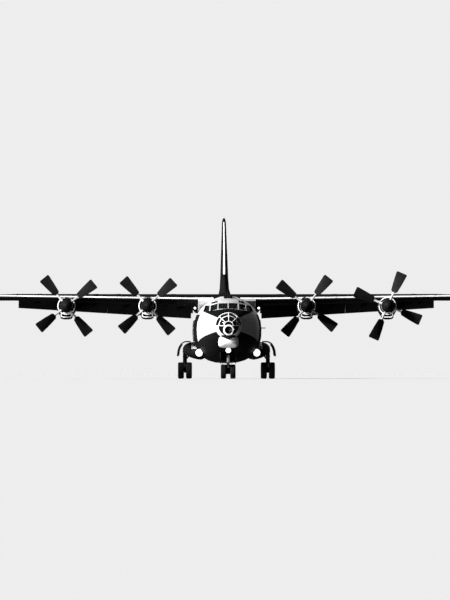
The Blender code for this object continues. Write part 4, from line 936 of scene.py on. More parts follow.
class Surface:
    """The outside of some CAD nodes, for pieces that sit on it."""

    SLACK = 0.004  # nearer to the surface than this, another node doesn't hide it

    def __init__(self, *nodes: str) -> None:
        """Reads the nodes, and all the others as what may stand in front of them."""
        self.tree = self.tree_of(nodes)
        self.others = self.tree_of([node for node in frame["nodes"] if node not in nodes])

    @staticmethod
    def tree_of(nodes: Iterable[str]) -> BVHTree:
        """Builds one search tree.

        Args:
            nodes: the nodes in it.

        Returns:
            The tree.
        """
        corners, faces = [], []
        for node in nodes:
            start = len(corners)
            corners += corners_of(node)
            faces += [[start + index for index in face.vertices] for face in frame["nodes"][node].data.polygons]
        return BVHTree.FromPolygons(corners, faces)

    def hit(self, origin: Point, towards: Point, reach: float = CLEAR) -> Spot | None:
        """Finds where a ray meets the surface.

        Args:
            origin: where the ray starts.
            towards: its direction.
            reach: how far it goes.

        Returns:
            The spot, or None where there is none or another node is in front of it.
        """
        start, line = Vector(origin), Vector(towards).normalized()
        place, facing, _, distance = self.tree.ray_cast(start, line, reach)
        if place is None or facing.dot(line) > 0.0:
            return None
        if self.others.ray_cast(start, line, max(distance - self.SLACK, FINE))[0] is not None:
            return None
        return place, facing

    def spots(self, rays: Iterable[tuple], reach: float = CLEAR) -> Route:
        """The places where these rays meet the surface."""
        found = [self.hit(origin, towards, *(own or [reach])) for origin, towards, *own in rays]
        return [spot for spot in found if spot]

    def trace(self, rays: Iterable[Ray], reach: float = REACH, gap: float = 0.5) -> list[Route]:
        """Follows the surface with a row of rays.

        Args:
            rays: origins and directions.
            reach: how far a ray goes.
            gap: neighbours further apart than this end a route.

        Returns:
            The routes, broken where a ray finds nothing.
        """
        routes: list[Route] = [[]]
        for ray in rays:
            spot = self.hit(*ray, reach)
            if spot is None or (routes[-1] and (spot[0] - routes[-1][-1][0]).length > gap):
                routes.append([])
            if spot:
                routes[-1].append(spot)
        return [route for route in routes if len(route) > 2]

    def outline(self, corners: Sequence[Flat], count: int, ray: Callable[[float, float], tuple]) -> Route:
        """Follows straight lines from corner to corner.

        Args:
            corners: the corners.
            count: spots on each line.
            ray: gives the ray for a place on a line.

        Returns:
            The closed route, or none where a third of the rays find nothing.
        """
        rays = []
        for start, end in zip(corners, (*corners[1:], corners[0])):
            for share in spread(0.0, 1.0, count + 1)[:-1]:
                rays.append(ray(*(first + (last - first) * share for first, last in zip(start, end))))
        route = self.spots(rays)
        return route if 3 * len(route) > 2 * len(rays) else []


class Recipe(NodeSheet):
    """A Geometry Nodes tree with named inputs, which ends in one real mesh with one material."""

    def __init__(self, name: str, inputs: dict[str, tuple[str, object]]) -> None:
        """Starts the tree.

        Args:
            name: the tree's name.
            inputs: the kind of socket and the first value of each named input.
        """
        super().__init__(bpy.data.node_groups.new(name, "GeometryNodeTree"))
        sockets = self.tree.interface
        sockets.new_socket("Geometry", in_out="INPUT", socket_type="NodeSocketGeometry")
        for label, (kind, value) in inputs.items():
            sockets.new_socket(label, in_out="INPUT", socket_type=f"NodeSocket{kind}").default_value = value
        sockets.new_socket("Material", in_out="INPUT", socket_type="NodeSocketMaterial")
        sockets.new_socket("Geometry", in_out="OUTPUT", socket_type="NodeSocketGeometry")
        self.given = self.node("NodeGroupInput").outputs
        self.path = self.node("GeometryNodeMeshToCurve", inputs={"Mesh": self.given["Geometry"]}).outputs[0]

    def finish(self, geometry: Socket) -> None:
        """Realizes the instances, sets the material and ends the tree.

        Args:
            geometry: the socket that gives the geometry.
        """
        real = self.node("GeometryNodeRealizeInstances", inputs={"Geometry": geometry})
        inputs = {"Geometry": real.outputs[0], "Material": self.given["Material"]}
        painted = self.node("GeometryNodeSetMaterial", inputs=inputs)
        self.node("NodeGroupOutput", inputs={0: painted.outputs[0]})

    def repeat(self, shape: Socket, follows: bool) -> None:
        """Stands a shape along the path, its Z away from the surface, and ends the tree.

        Args:
            shape: the shape's mesh.
            follows: whether its X turns along the path.
        """
        inputs = {"Curve": self.path, "Length": self.given["Spacing"]}
        spaced = self.node("GeometryNodeResampleCurve", {"mode": "LENGTH"}, inputs)
        facing = self.node("GeometryNodeInputNamedAttribute", {"data_type": "FLOAT_VECTOR"}, {"Name": "facing"})
        turned = self.node("FunctionNodeAlignRotationToVector", {"axis": "Z"}, {"Vector": facing.outputs[0]})
        if follows:
            inputs = {"Rotation": turned.outputs[0], "Vector": self.node("GeometryNodeInputTangent").outputs[0]}
            turned = self.node("FunctionNodeAlignRotationToVector", {"axis": "X", "pivot_axis": "Z"}, inputs)
        inputs = {"Points": spaced.outputs[0], "Instance": shape, "Rotation": turned.outputs[0]}
        self.finish(self.node("GeometryNodeInstanceOnPoints", inputs=inputs).outputs[0])

    def run(
        self,
        name: str,
        routes: Sequence[Route],
        material: Material,
        slot: Slot,
        body: str = AIRFRAME,
        **values: object,
    ) -> Piece:
        """Runs the tree on some routes.

        Args:
            name: the piece's name.
            routes: the routes that it follows.
            material: the piece's finish.
            slot: the record's slot.
            body: the CAD body that it rides on.
            values: the values of the named inputs.

        Returns:
            The piece, as a plain mesh and dressed.
        """
        points, edges, facing = [], [], []
        for route in routes:
            start = len(points)
            points += [place for place, _ in route]
            facing += [value for _, outward in route for value in outward]
            edges += [(start + index, start + index + 1) for index in range(len(route) - 1)]
        data = bpy.data.meshes.new(name)
        data.from_pydata(points, edges, [])
        data.attributes.new("facing", "FLOAT_VECTOR", "POINT").data.foreach_set("vector", facing)
        made = place_in_scene(name, data)
        modifier = made.modifiers.new(self.tree.name, "NODES")
        modifier.node_group = self.tree
        values["Material"] = material
        for socket in self.tree.interface.items_tree:
            if socket.in_out == "INPUT" and socket.name in values:
                modifier[socket.identifier] = values[socket.name]
        freeze(made)
        left_over = made.data.attributes.get("facing")
        if left_over:
            made.data.attributes.remove(left_over)
        smooth(made.data, RECIPE_CREASE)
        return dress(made, material, slot, body)


class StudRecipe(Recipe):
    """Rivets, bolts, rings and wicks: tapered studs that stand along a route."""

    SIZES = ("Spacing", "Foot", "Top", "Height")

    def __init__(self) -> None:
        """Builds the tree."""
        sizes = zip(self.SIZES, (0.1, 0.01, 0.006, 0.004))
        super().__init__("studs", {"Sides": ("Int", 6), **{key: ("Float", value) for key, value in sizes}})
        sockets = {"Vertices": "Sides", "Radius Top": "Top", "Radius Bottom": "Foot", "Depth": "Height"}
        stud = self.node("GeometryNodeMeshCone", inputs={key: self.given[value] for key, value in sockets.items()})
        self.repeat(stud.outputs[0], False)

    def row(
        self,
        name: str,
        routes: Sequence[Route],
        sizes: Stud,
        material: Material,
        slot: Slot = Slot.METAL,
        body: str = AIRFRAME,
        sides: int = 6,
    ) -> Piece:
        """Stands studs along some routes.

        Args:
            name: the piece's name.
            routes: the routes.
            sizes: their spacing, the radius of their foot and of their top, and their height.
            material: their finish.
            slot: the record's slot.
            body: the CAD body that they ride on.
            sides: their sides.

        Returns:
            The studs as one piece.
        """
        return self.run(name, routes, material, slot, body, Sides=sides, **dict(zip(self.SIZES, sizes)))


class SlatRecipe(Recipe):
    """Ribs and louvres: blocks that stand along a route, their X along it and their Z away from the surface."""

    def __init__(self) -> None:
        """Builds the tree."""
        super().__init__("slats", {"Spacing": ("Float", 0.2), "Size": ("Vector", (0.04, 0.3, 0.04))})
        self.repeat(self.node("GeometryNodeMeshCube", inputs={"Size": self.given["Size"]}).outputs[0], True)


class PipeRecipe(Recipe):
    """Pipes and hoses: round tubes with rounded bends along a route."""

    def __init__(self) -> None:
        """Builds the tree."""
        super().__init__("pipes", {"Radius": ("Float", 0.015), "Bend": ("Float", 0.08), "Sides": ("Int", 10)})
        inputs = {"Curve": self.path, "Count": 6, "Radius": self.given["Bend"], "Limit Radius": True}
        bent = self.node("GeometryNodeFilletCurve", {"mode": "POLY"}, inputs)
        inputs = {"Resolution": self.given["Sides"], "Radius": self.given["Radius"]}
        section = self.node("GeometryNodeCurvePrimitiveCircle", inputs=inputs)
        inputs = {"Curve": bent.outputs[0], "Profile Curve": section.outputs[0], "Fill Caps": True}
        self.finish(self.node("GeometryNodeCurveToMesh", inputs=inputs).outputs[0])


@dataclass
class Workshop:
    """What every sub-assembly works with: the finishes and the trees."""

    finishes: Finishes
    studs: StudRecipe
    slats: SlatRecipe
    pipes: PipeRecipe


def free_route(*points: Point, facing: Point = UP) -> Route:
    """A route through points that lie on no surface."""
    return [(Vector(point), Vector(facing)) for point in points]


def circle(centre: Point, radius: float, axis: Point) -> Route:
    """A closed round route whose spots face along its axis."""
    line, side, other = axes_of(axis)
    return [(Vector(centre) + radius * (cosine * side + sine * other), line) for cosine, sine in turn(40, True)]


@dataclass
class Studio:
    """The floor, the light, the backdrop and the camera at the photograph's viewing angle."""

    target: Point = (-0.142, -7.83, 4.99)
    distance: float = 600.0
    sideways: float = -6.05
    height: float = 0.30
    metres_per_pixel: float = 0.0634
    picture_height: int = 600
    film: float = 36.0
    floor_size: float = 12000.0
    floor_colour: Colour = (0.473, 0.473, 0.473)
    suns: Sequence[tuple[str, float, Point, float]] = (
        ("key", 9.0, (-0.78, -0.42, 0.46), 5.0),
        ("rim", 5.0, (0.25, 0.93, 0.28), 16.0),
        ("low_fill", 2.0, (-0.70, -0.55, -0.40), 20.0),
    )
    fill: float = 0.05
    backdrop: float = 0.85

    def camera(self) -> None:
        """Places the camera with a long lens at floor level."""
        data = bpy.data.cameras.new("camera")
        data.sensor_width = self.film
        data.lens = self.film * self.distance / (self.picture_height * self.metres_per_pixel)
        data.clip_start, data.clip_end = 1.0, 2.0 * self.floor_size
        made, target = place_in_scene("camera", data), Vector(self.target)
        made.location = (target.x + self.sideways, target.y - self.distance, self.height)
        made.rotation_euler = (target - made.location).to_track_quat("-Z", "Y").to_euler()
        bpy.context.scene.camera = made

    def floor(self) -> None:
        """Lays the plain pale floor, which throws no light up at the aircraft."""
        half = self.floor_size / 2.0
        data = bpy.data.meshes.new("floor")
        corners = [(-half, -half, 0.0), (half, -half, 0.0), (half, half, 0.0), (-half, half, 0.0)]
        data.from_pydata(corners, [], [range(4)])
        data.materials.append(StudioFinish("studio_floor", self.floor_colour).make())
        made = place_in_scene("floor", data)
        made.visible_diffuse = made.visible_glossy = made.visible_shadow = False
        made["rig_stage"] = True

    def light(self) -> None:
        """Sets the suns and a weak fill, with a pale backdrop that only the camera sees."""
        for name, strength, come_from, width in self.suns:
            data = bpy.data.lights.new(name, "SUN")
            data.energy, data.angle = strength, math.radians(width)
            made = place_in_scene(name, data)
            made.rotation_euler = Vector(come_from).to_track_quat("Z", "Y").to_euler()
            made.visible_glossy = name == "key"
        world = bpy.data.worlds.new("studio")
        world.use_nodes = True
        sheet = NodeSheet(world.node_tree)
        sheet.tree.nodes.clear()
        seen = sheet.node("ShaderNodeBackground", inputs={"Color": (self.backdrop,) * 3})
        fill = sheet.node("ShaderNodeBackground", inputs={"Color": (1.0, 1.0, 1.0), "Strength": self.fill})
        camera_ray = sheet.node("ShaderNodeLightPath").outputs["Is Camera Ray"]
        both = sheet.node("ShaderNodeMixShader", inputs={0: camera_ray, 1: fill.outputs[0], 2: seen.outputs[0]})
        sheet.node("ShaderNodeOutputWorld", inputs={"Surface": both.outputs[0]})
        bpy.context.scene.world = world
        bpy.context.scene.view_settings.view_transform = "Standard"

    def build(self) -> list[Piece]:
        """Builds the studio, which adds no piece to the aircraft."""
        self.camera()
        self.floor()
        self.light()
        return []


@dataclass
class Skins:
    """The smooth skins that stand for the CAD's bodies, wings, tail, doors and glazing."""

    shop: Workshop

    def build(self) -> list[Piece]:
        """Builds the skins from a table of nodes, finish and slot."""
        finishes = self.shop.finishes
        skins, dark = finishes.skins, finishes.dark
        rows = [
            (("centre_fuselage", "rear_fuselage", "crew_door"), skins[Zone.BODY], Slot.PALE),
            (("tail_cone",), skins[Zone.PALE], Slot.TAIL_CONE),
            (("cockpit_section",), skins[Zone.NOSE], Slot.COCKPIT),
            (("nose_frame",), skins[Zone.DOME], Slot.COCKPIT),
            (("nose_glass", "cockpit_glass"), finishes.glass, Slot.GLAZING),
            (("chin_radome",), finishes.radome, Slot.RADOME),
            (("crown_fairing",), dark, Slot.DARK),
            (("wing_centre",), skins[Zone.ROOT], Slot.DARK),
            (("fin",), skins[Zone.FIN], Slot.TAIL),
            (("rudder", "tailplane"), dark, Slot.TAIL),
            (("freight_door_aft",), dark, Slot.DARK),
            (("freight_floor", "flight_deck"), finishes.lining, Slot.LINING),
            (("nose_leg", "nose_fork"), finishes.leg, Slot.GEAR),
        ]
        for side in Side:
            for stems, finish, slot in (
                (("wing",), skins[Zone.WING], Slot.DARK),
                (("flap_inner", "flap_outer", "aileron"), dark, Slot.DARK),
                (("elevator",), dark, Slot.TAIL),
                (("freight_leaf", "main_door", "nose_door"), dark, Slot.DARK),
                (("sponson",), skins[Zone.SPONSON], Slot.DARK),
                (("main_leg",), finishes.leg, Slot.GEAR),
            ):
                rows.append(([f"{stem}_{side.word}" for stem in stems], finish, slot))
        return [skin(node, finish, slot) for nodes, finish, slot in rows for node in nodes]


@dataclass
class PowerPlant:
    """One engine with its nacelle, intakes, jet pipe, louvres and propeller."""

    name: str
    x: float
    station: float
    shop: Workshop
    thrust: float = 4.62
    lip: float = 0.33
    lip_radii: Flat = (0.500, 0.570)
    mouth: Flat = (0.30, 0.11)
    mouth_drop: float = 0.58
    mouth_rim: float = 0.035
    mouth_power: float = 0.62
    ring_points: int = 48
    jet_drop: float = 0.33
    jet_span: Flat = (4.36, 4.70)
    jet_radius: float = 0.245
    louvre_span: Flat = (1.05, 1.95)
    louvre_rise: float = 0.16
    louvre: Point = (0.028, 0.24, 0.036)
    louvre_gap: float = 0.11
    bands: Sequence[float] = (0.60, 1.85, 3.10)
    band_drop: float = 0.12
    band: Flat = (0.045, 0.005)
    band_side: float = 0.05
    fastener: Stud = (0.10, 0.009, 0.006, 0.004)
    spinner_foot: float = 0.302
    bolt_radius: float = 0.418
    spinner_bolt: Stud = (0.13, 0.008, 0.007, 0.006)
    ring_rays: Flat = (1.6, 1.5)  # how far out a ray starts, and how far it goes
    side_rays: Flat = (2.0, 1.9)

    @cached_property
    def cowl(self) -> Surface:
        """The nacelle's surface."""
        return Surface(f"nacelle_{self.name}")

    def place(self, distance: float, drop: float = 0.0) -> Point:
        """A place this far aft of the nacelle's lip, and this far under its thrust line."""
        return self.x, along(self.station + self.lip + distance), self.thrust - drop

    def lip_ring(self) -> Sketch:
        """The polished ring round the air intake."""
        inner, outer = self.lip_radii
        middle, half = (inner + outer) / 2.0, (outer - inner) / 2.0
        profile = [(0.015 + 0.035 * sine, middle + half * cosine) for cosine, sine in turn(12)]
        sketch = Sketch(f"cowl_lip_{self.name}")
        return sketch.lathe(profile, self.place(0.0), AFT, self.ring_points, closed=True)

    def mouth_ring(self) -> Sketch:
        """The rim of the chin intake."""
        (x, y, z), rings = self.place(0.02, self.mouth_drop), []
        for cosine, sine in turn(self.ring_points):
            flat = math.copysign(abs(cosine) ** self.mouth_power, cosine)
            tall = math.copysign(abs(sine) ** self.mouth_power, sine)
            section = []
            for rim_cosine, rim_sine in turn(8):
                grow = self.mouth_rim * (1.0 + rim_cosine) - 0.01
                out, up = (self.mouth[0] + grow) * flat, (self.mouth[1] + grow) * tall
                section.append((x + out, y + 0.03 * rim_sine, z + up))
            rings.append(section)
        return Sketch(f"chin_rim_{self.name}").loft(rings, closed=True)

    def jet_pipe(self) -> Sketch:
        """The burnt end of the jet pipe, rolled over at its lip."""
        start, end, radius = *self.jet_span, self.jet_radius
        profile = [(start, radius), (end - 0.03, radius), (end, radius + 0.008), (end, radius + 0.022)]
        profile += [(end - 0.04, radius + 0.028), (start, radius + 0.02)]
        return Sketch(f"jet_pipe_{self.name}").lathe(profile, self.place(0.0, self.jet_drop), closed=True)

    def band_routes(self, *shifts: float) -> list[Route]:
        """Routes round the cowl.

        Args:
            shifts: how far they are aft of each place where its panels meet.

        Returns:
            The routes.
        """
        start, reach = self.ring_rays
        middles = [Vector(self.place(band + shift, self.band_drop)) for band in self.bands for shift in shifts]
        return [route for middle in middles for route in self.cowl.trace(fan(middle, 96, start), reach)]

    def louvre_routes(self) -> list[Route]:
        """Routes for the cooling louvres on both sides of the cowl."""
        routes, height, (start, reach) = [], self.thrust + self.louvre_rise, self.side_rays
        first, last = (self.place(distance)[1] for distance in self.louvre_span)
        for sign in SIGNS:
            rays = [((self.x + sign * start, y, height), (-sign, 0.0, 0.0)) for y in spread(first, last, 8)]
            routes += self.cowl.trace(rays, reach)
        return routes

    def build(self) -> list[Piece]:
        """Builds the power plant."""
        finishes, name, studs, propeller = self.shop.finishes, self.name, self.shop.studs, f"propeller_{self.name}"
        x, y, z = hub = (self.x, along(self.station), self.thrust)
        blades = AirframePaint(f"blade_{name}", Zone.BLADE, centre=hub).make()
        dark = (finishes.dark, Slot.DARK)
        bands, louvres = Sketch(f"cowl_bands_{name}"), self.louvre_routes()
        bands.straps(self.band_routes(0.0), *self.band)
        fasteners = self.band_routes(-self.band_side, self.band_side)
        bolts = [circle((x, y - self.spinner_foot, z), self.bolt_radius, (0.0, -1.0, 0.0))]
        return [
            dress(bands.done(), *dark),
            studs.row(f"cowl_fasteners_{name}", fasteners, self.fastener, finishes.steel),
            skin(f"nacelle_{name}", *dark),
            skin(f"engine_{name}", finishes.engine, Slot.METAL),
            skin(propeller, blades, Slot.BLADE),
            skin(f"spinner_{name}", finishes.dark, Slot.BLADE),
            dress(self.lip_ring().done(), finishes.bright, Slot.METAL),
            dress(self.mouth_ring().done(), finishes.bright, Slot.METAL),
            dress(self.jet_pipe().done(), finishes.burnt, Slot.METAL),
            self.shop.slats.run(f"cowl_louvres_{name}", louvres, *dark, Spacing=self.louvre_gap, Size=self.louvre),
            studs.row(f"spinner_bolts_{name}", bolts, self.spinner_bolt, finishes.steel, body=propeller),
        ]


@dataclass
class TwinWheels:
    """A pair of wheels on one axle."""

    node: str
    centre: Point
    shop: Workshop
    radius: float = 0.525
    width: float = 0.375
    gap: float = 0.14
    rim: float = 0.27
    axle: float = 0.055
    grooves: int = 4
    bolts: int = 10
    bolt_share: float = 0.70
    bolt: Point = (0.016, 0.014, 0.03)
    bolt_out: float = 0.36  # shares of the width, as the next two
    tread_share: float = 0.74
    axle_out: float = 0.42
    crease: float = 28.0

    def tyre_profile(self) -> list[Flat]:
        """The closed section of a tyre, as (place along the axle, radius)."""
        half, radius, rim = self.width / 2.0, self.radius, self.rim
        tread = half * self.tread_share
        groove = tread / (self.grooves + 1.0)
        crown = [(-tread, radius - 0.010)]
        for index in range(self.grooves):
            middle = -tread + 2.0 * tread * (index + 1) / (self.grooves + 1)
            for shift, depth in ((-0.18, 0.0), (-0.14, 0.012), (0.14, 0.012), (0.18, 0.0)):
                crown.append((middle + shift * groove, radius - depth))
        crown.append((tread, radius - 0.010))
        flank = [(0.90, radius - 0.032), (0.99, radius - 0.080), (1.00, radius - 0.130)]
        flank += [(0.95, rim + 0.075), (0.84, rim + 0.020), (0.78, rim - 0.004)]
        flank = [(half * share, reach) for share, reach in flank]
        return [(-place, reach) for place, reach in reversed(flank)] + crown + flank

    def hub_profile(self) -> list[Flat]:
        """The closed section of a wheel's hub."""
        half, rim = self.width / 2.0, self.rim
        shares = [(0.80, self.axle), (0.80, rim * 0.34), (0.62, rim * 0.40), (0.34, rim * 0.60), (0.40, rim * 0.82)]
        shares += [(0.86, rim - 0.020), (0.88, rim + 0.004), (0.84, rim + 0.012), (0.80, rim - 0.002)]
        outer = [(half * share, reach) for share, reach in shares]
        return [(-place, reach) for place, reach in reversed(outer)] + outer

    def build(self) -> list[Piece]:
        """Builds the pair."""
        x, y, z = self.centre
        shift, half, bolt_radius = (self.gap + self.width) / 2.0, self.width / 2.0, self.rim * self.bolt_share
        tyres, hubs, bolts = Sketch(f"{self.node}_tyres"), Sketch(f"{self.node}_hubs"), []
        for sign in SIGNS:
            middle = x + sign * shift
            tyres.lathe(self.tyre_profile(), (middle, y, z), ACROSS, 72, closed=True)
            hubs.lathe(self.hub_profile(), (middle, y, z), ACROSS, 48, closed=True)
            for face in SIGNS:
                bolts.append(circle((middle + face * half * self.bolt_out, y, z), bolt_radius, (face, 0.0, 0.0)))
        reach, axle = shift + self.width * self.axle_out, self.axle
        profile = [(-reach, axle * 0.6), (0.02 - reach, axle), (reach - 0.02, axle), (reach, axle * 0.6)]
        hubs.lathe(profile, self.centre, ACROSS, 24)
        finishes, sizes = self.shop.finishes, (TURN * self.rim * self.bolt_share / self.bolts, *self.bolt)
        return [
            self.shop.studs.row(f"{self.node}_bolts", bolts, sizes, finishes.steel, body=self.node),
            dress(tyres.done(self.crease), finishes.rubber, Slot.TYRE, self.node, self.node),
            dress(hubs.done(self.crease), finishes.wheel, Slot.GEAR, self.node),
        ]


@dataclass
class NoseGear:
    """What hangs on the nose leg: covers, oleo, links, mudguard, pipes and the bay's lining."""

    shop: Workshop
    station: float = 3.00
    axle: float = 0.45
    leg_radius: float = 0.12
    fork_radius: float = 0.085
    guard_radius: float = 0.50
    guard_half: float = 0.46
    guard_angles: Flat = (-18.0, 60.0)
    leg_cover: Point = (1.04, 1.50, 46.0)
    fork_cover: Point = (0.70, 0.85, 38.0)
    bay: Point = (0.50, 2.20, 3.90)
    bay_heights: Point = (1.24, 1.36, 1.99)

    def cover(self, name: str, sizes: Point, radius: float) -> Piece:
        """A pale curved plate on the front of the leg.

        Args:
            name: the piece's name.
            sizes: its lower and its upper end, and how far it reaches to each side in degrees.
            radius: the leg's radius under it.

        Returns:
            The plate.
        """
        (foot, head, half_angle), y, section = sizes, along(self.station), []
        for reach, last in ((radius - 0.004, half_angle), (radius + 0.012, -half_angle)):
            for angle in map(math.radians, spread(-last, last, 9)):
                section.append((reach * math.sin(angle), y - reach * math.cos(angle)))
        return Sketch(name).loft([[(x, y, z) for x, y in section] for z in (foot, head)]).done(SOFT)

    def mudguard(self) -> Piece:
        """The curved guard behind the wheels, with rolled edges and its bracket."""
        y, half, radius = along(self.station), self.guard_half, self.guard_radius
        section = [(-half, -0.02), (-half, 0.012), (half, 0.012), (half, -0.02)]
        section += [(half - 0.012, -0.02), (half - 0.012, 0.0), (0.012 - half, 0.0), (0.012 - half, -0.02)]
        rings = []
        for angle in map(math.radians, spread(*self.guard_angles, 15)):
            cosine, sine = math.cos(angle), math.sin(angle)
            rings.append([(x, y + (radius + out) * cosine, self.axle + (radius + out) * sine) for x, out in section])
        sketch = Sketch("nose_mudguard").loft(rings)
        for x in (-0.07, 0.07):
            sketch.bar((x, y + 0.08, 0.56), (x, y + radius + 0.005, 0.54), (0.02, 0.03), (0.02, 0.02))
        return sketch.block((-0.09, y + 0.05, 0.50), (0.09, y + 0.12, 0.62)).done(SOFT)

    def links(self) -> list[Piece]:
        """The steering links, which meet the leg above and the fork below."""
        y, lower, upper = along(self.station), Sketch("nose_lower_link"), Sketch("nose_upper_link")
        for x in (-0.05, 0.05):
            for sketch, near, foot, elbow in ((lower, 0.08, 0.70, 0.86), (upper, 0.10, 1.14, 0.90)):
                sketch.bar((x, y + near, foot), (x * 0.5, y + 0.26, elbow), (0.014, 0.030), (0.012, 0.020))
        for sign in SIGNS:
            jack, collar = (sign * 0.19, y, 1.16), (0.03, 0.02)
            upper.lathe([(-0.15, 0.02), (-0.14, 0.038), (0.06, 0.038), (0.07, 0.02)], jack, AFT, 20)
            upper.bar(jack, (sign * 0.10, y, 1.16), collar, collar, AFT)
        return [lower.done(), upper.done()]

    def bay_lining(self) -> Piece:
        """The roof and walls of the wheel bay."""
        half, first, last = self.bay
        rear, foot, roof = self.bay_heights
        front, back, top = along(first) + 0.05, along(last), roof + 0.02
        sketch = Sketch("nose_bay_lining").block((-half, front, roof), (half, back - 0.02, top))
        for sign in SIGNS:
            low, high = sorted((sign * (half + 0.005), sign * (half + 0.025)))
            sketch.block((low, front, foot), (high, back - 0.02, top))
        return sketch.block((-half, back - 0.02, rear), (half, back, top)).done()

    def build(self) -> list[Piece]:
        """Builds the nose gear's fittings."""
        finishes, y = self.shop.finishes, along(self.station)
        half, first, last = self.bay
        sleeve = [(0.0, self.fork_radius), (0.0, 0.094), (0.16, 0.094), (0.16, self.fork_radius)]
        oleo = Sketch("nose_oleo").lathe(sleeve, (0.0, y, 0.855), UP, 32, closed=True).done()
        lower, upper = self.links()
        leg_cover = self.cover("nose_leg_cover", self.leg_cover, self.leg_radius)
        fork_cover = self.cover("nose_fork_cover", self.fork_cover, self.fork_radius)
        ceiling, rib = self.bay_heights[2] - 0.005, (0.035, 2.0 * half - 0.02, 0.05)
        ends = [(0.0, place, ceiling) for place in (along(first) + 0.2, along(last) - 0.1)]
        ribs = free_route(*ends, facing=(0.0, 0.0, -1.0))
        lanes = [((x, y + 0.04, 1.96), (x, y + 0.10, 1.62), (x * 0.9, y + 0.10, 1.08)) for x in (-0.10, 0.10)]
        pipes = [free_route(*lane) for lane in lanes]
        shade = (finishes.shadow, Slot.GEAR)
        return [
            dress(leg_cover, finishes.bright, Slot.GEAR),
            dress(fork_cover, finishes.bright, Slot.GEAR, "nose_fork"),
            dress(oleo, finishes.chrome, Slot.GEAR, "nose_fork"),
            dress(self.mudguard(), finishes.dark, Slot.GEAR, "nose_fork"),
            dress(lower, finishes.leg, Slot.GEAR, "nose_fork"),
            dress(upper, finishes.leg, Slot.GEAR),
            dress(self.bay_lining(), *shade),
            self.shop.slats.run("nose_bay_ribs", [ribs], *shade, Spacing=0.26, Size=rib),
            self.shop.pipes.run("nose_leg_pipes", pipes, *shade, Radius=0.011, Bend=0.06),
        ]


@dataclass
class MainGear:
    """What hangs on one main leg: oleo, links, brake pipes, the door's pan and the bay's ribs."""

    side: Side
    shop: Workshop
    station: float = 13.90
    out: float = 2.65
    piston: float = 0.075
    bogie_half: float = 0.62
    bay: Point = (2.25, 12.75, 15.05)
    door: Sequence[Flat] = ((2.845, 2.21), (2.97, 2.03), (3.05, 1.80), (3.088, 1.47))
    door_inset: float = 0.15
    collars: Sequence[Point] = ((0.98, 1.06, 0.155), (1.38, 1.44, 0.15), (1.70, 1.78, 0.155))

    @property
    def x(self) -> float:
        """The leg's place across the aircraft."""
        return self.side.value * self.out

    def door_layer(self, sketch: Sketch, first: float, last: float, depth: float) -> None:
        """Adds a curved layer to the inner side of the door.

        Args:
            sketch: the piece it goes into.
            first: its front station.
            last: its rear station.
            depth: its thickness.
        """
        sunk, inner = [], []
        points = list(self.door)
        for before, point, after in zip(points[:1] + points[:-1], points, points[1:] + points[-1:]):
            away = Vector((before[1] - after[1], after[0] - before[0])).normalized()
            sunk.append(Vector(point) + away * 0.01)
            inner.append(Vector(point) - away * depth)
        outline = [(self.side.value * flat.x, flat.y) for flat in sunk + inner[::-1]]
        sketch.loft([[(x, along(station), z) for x, z in outline] for station in (first, last)])

    def door_pan(self) -> Piece:
        """The door's inner skin and its frames."""
        sketch = Sketch(f"main_door_pan_{self.side.word}")
        first, last = self.bay[1] + self.door_inset, self.bay[2] - self.door_inset
        self.door_layer(sketch, first, last, 0.035)
        for station in spread(first + 0.02, last - 0.08, 6):
            self.door_layer(sketch, station, station + 0.06, 0.07)
        return sketch.done()

    def links(self) -> Piece:
        """The torque links behind the leg, and its collars."""
        y, sketch = along(self.station), Sketch(f"main_links_{self.side.word}")
        elbow = (self.x, y + 0.33, 0.86)
        sketch.bar((self.x, y + 0.12, 1.16), elbow, (0.055, 0.030), (0.030, 0.018))
        sketch.bar((self.x, y + 0.10, 0.66), elbow, (0.050, 0.030), (0.026, 0.018))
        sketch.lathe([(-0.05, 0.012), (-0.045, 0.02), (0.045, 0.02), (0.05, 0.012)], elbow, ACROSS, 16)
        for low, high, radius in self.collars:
            profile = [(low, 0.13), (low, radius - 0.01), (low + 0.01, radius)]
            profile += [(high - 0.01, radius), (high, radius - 0.01), (high, 0.13)]
            sketch.lathe(profile, (self.x, y, 0.0), UP, 36, closed=True)
        return sketch.done()

    def pipe_route(self, sign: float) -> Route:
        """The route of one brake pipe down the leg and along the bogie beam.

        Args:
            sign: -1 for the front pipe and 1 for the rear one.

        Returns:
            The route.
        """
        x, y, lane = self.x + sign * 0.08, along(self.station), self.x + sign * 0.035
        heel, end = y + sign * 0.30 - 0.165 * (sign < 0), y + sign * (self.bogie_half - 0.06)
        return free_route(
            (x, y - 0.10, 1.90), (x, y - 0.155, 1.60), (lane, y - 0.165, 1.02), (lane, heel, 0.705), (lane, end, 0.70)
        )

    def build(self) -> list[Piece]:
        """Builds the main gear's fittings."""
        finishes, word, sign = self.shop.finishes, self.side.word, float(self.side.value)
        sleeve = [(0.0, self.piston), (0.0, 0.084), (0.26, 0.084), (0.26, self.piston)]
        oleo = Sketch(f"main_oleo_{word}").lathe(sleeve, (self.x, along(self.station), 0.71), UP, 36, closed=True)
        inner, first, last = self.bay
        ends = [(sign * inner, along(station), 1.72) for station in (first + 0.15, last - 0.10)]
        wall, rib = free_route(*ends, facing=(sign, 0.0, 0.0)), (0.035, 0.60, 0.05)
        pipes = [self.pipe_route(lane) for lane in SIGNS]
        shade = (finishes.shadow, Slot.GEAR)
        return [
            dress(self.door_pan(), finishes.dark, Slot.DARK),
            dress(oleo.done(), finishes.chrome, Slot.GEAR),
            dress(self.links(), finishes.leg, Slot.GEAR),
            self.shop.pipes.run(f"main_brake_pipes_{word}", pipes, *shade, Radius=0.012, Bend=0.07),
            self.shop.slats.run(f"main_bay_ribs_{word}", [wall], *shade, Spacing=0.29, Size=rib),
        ]


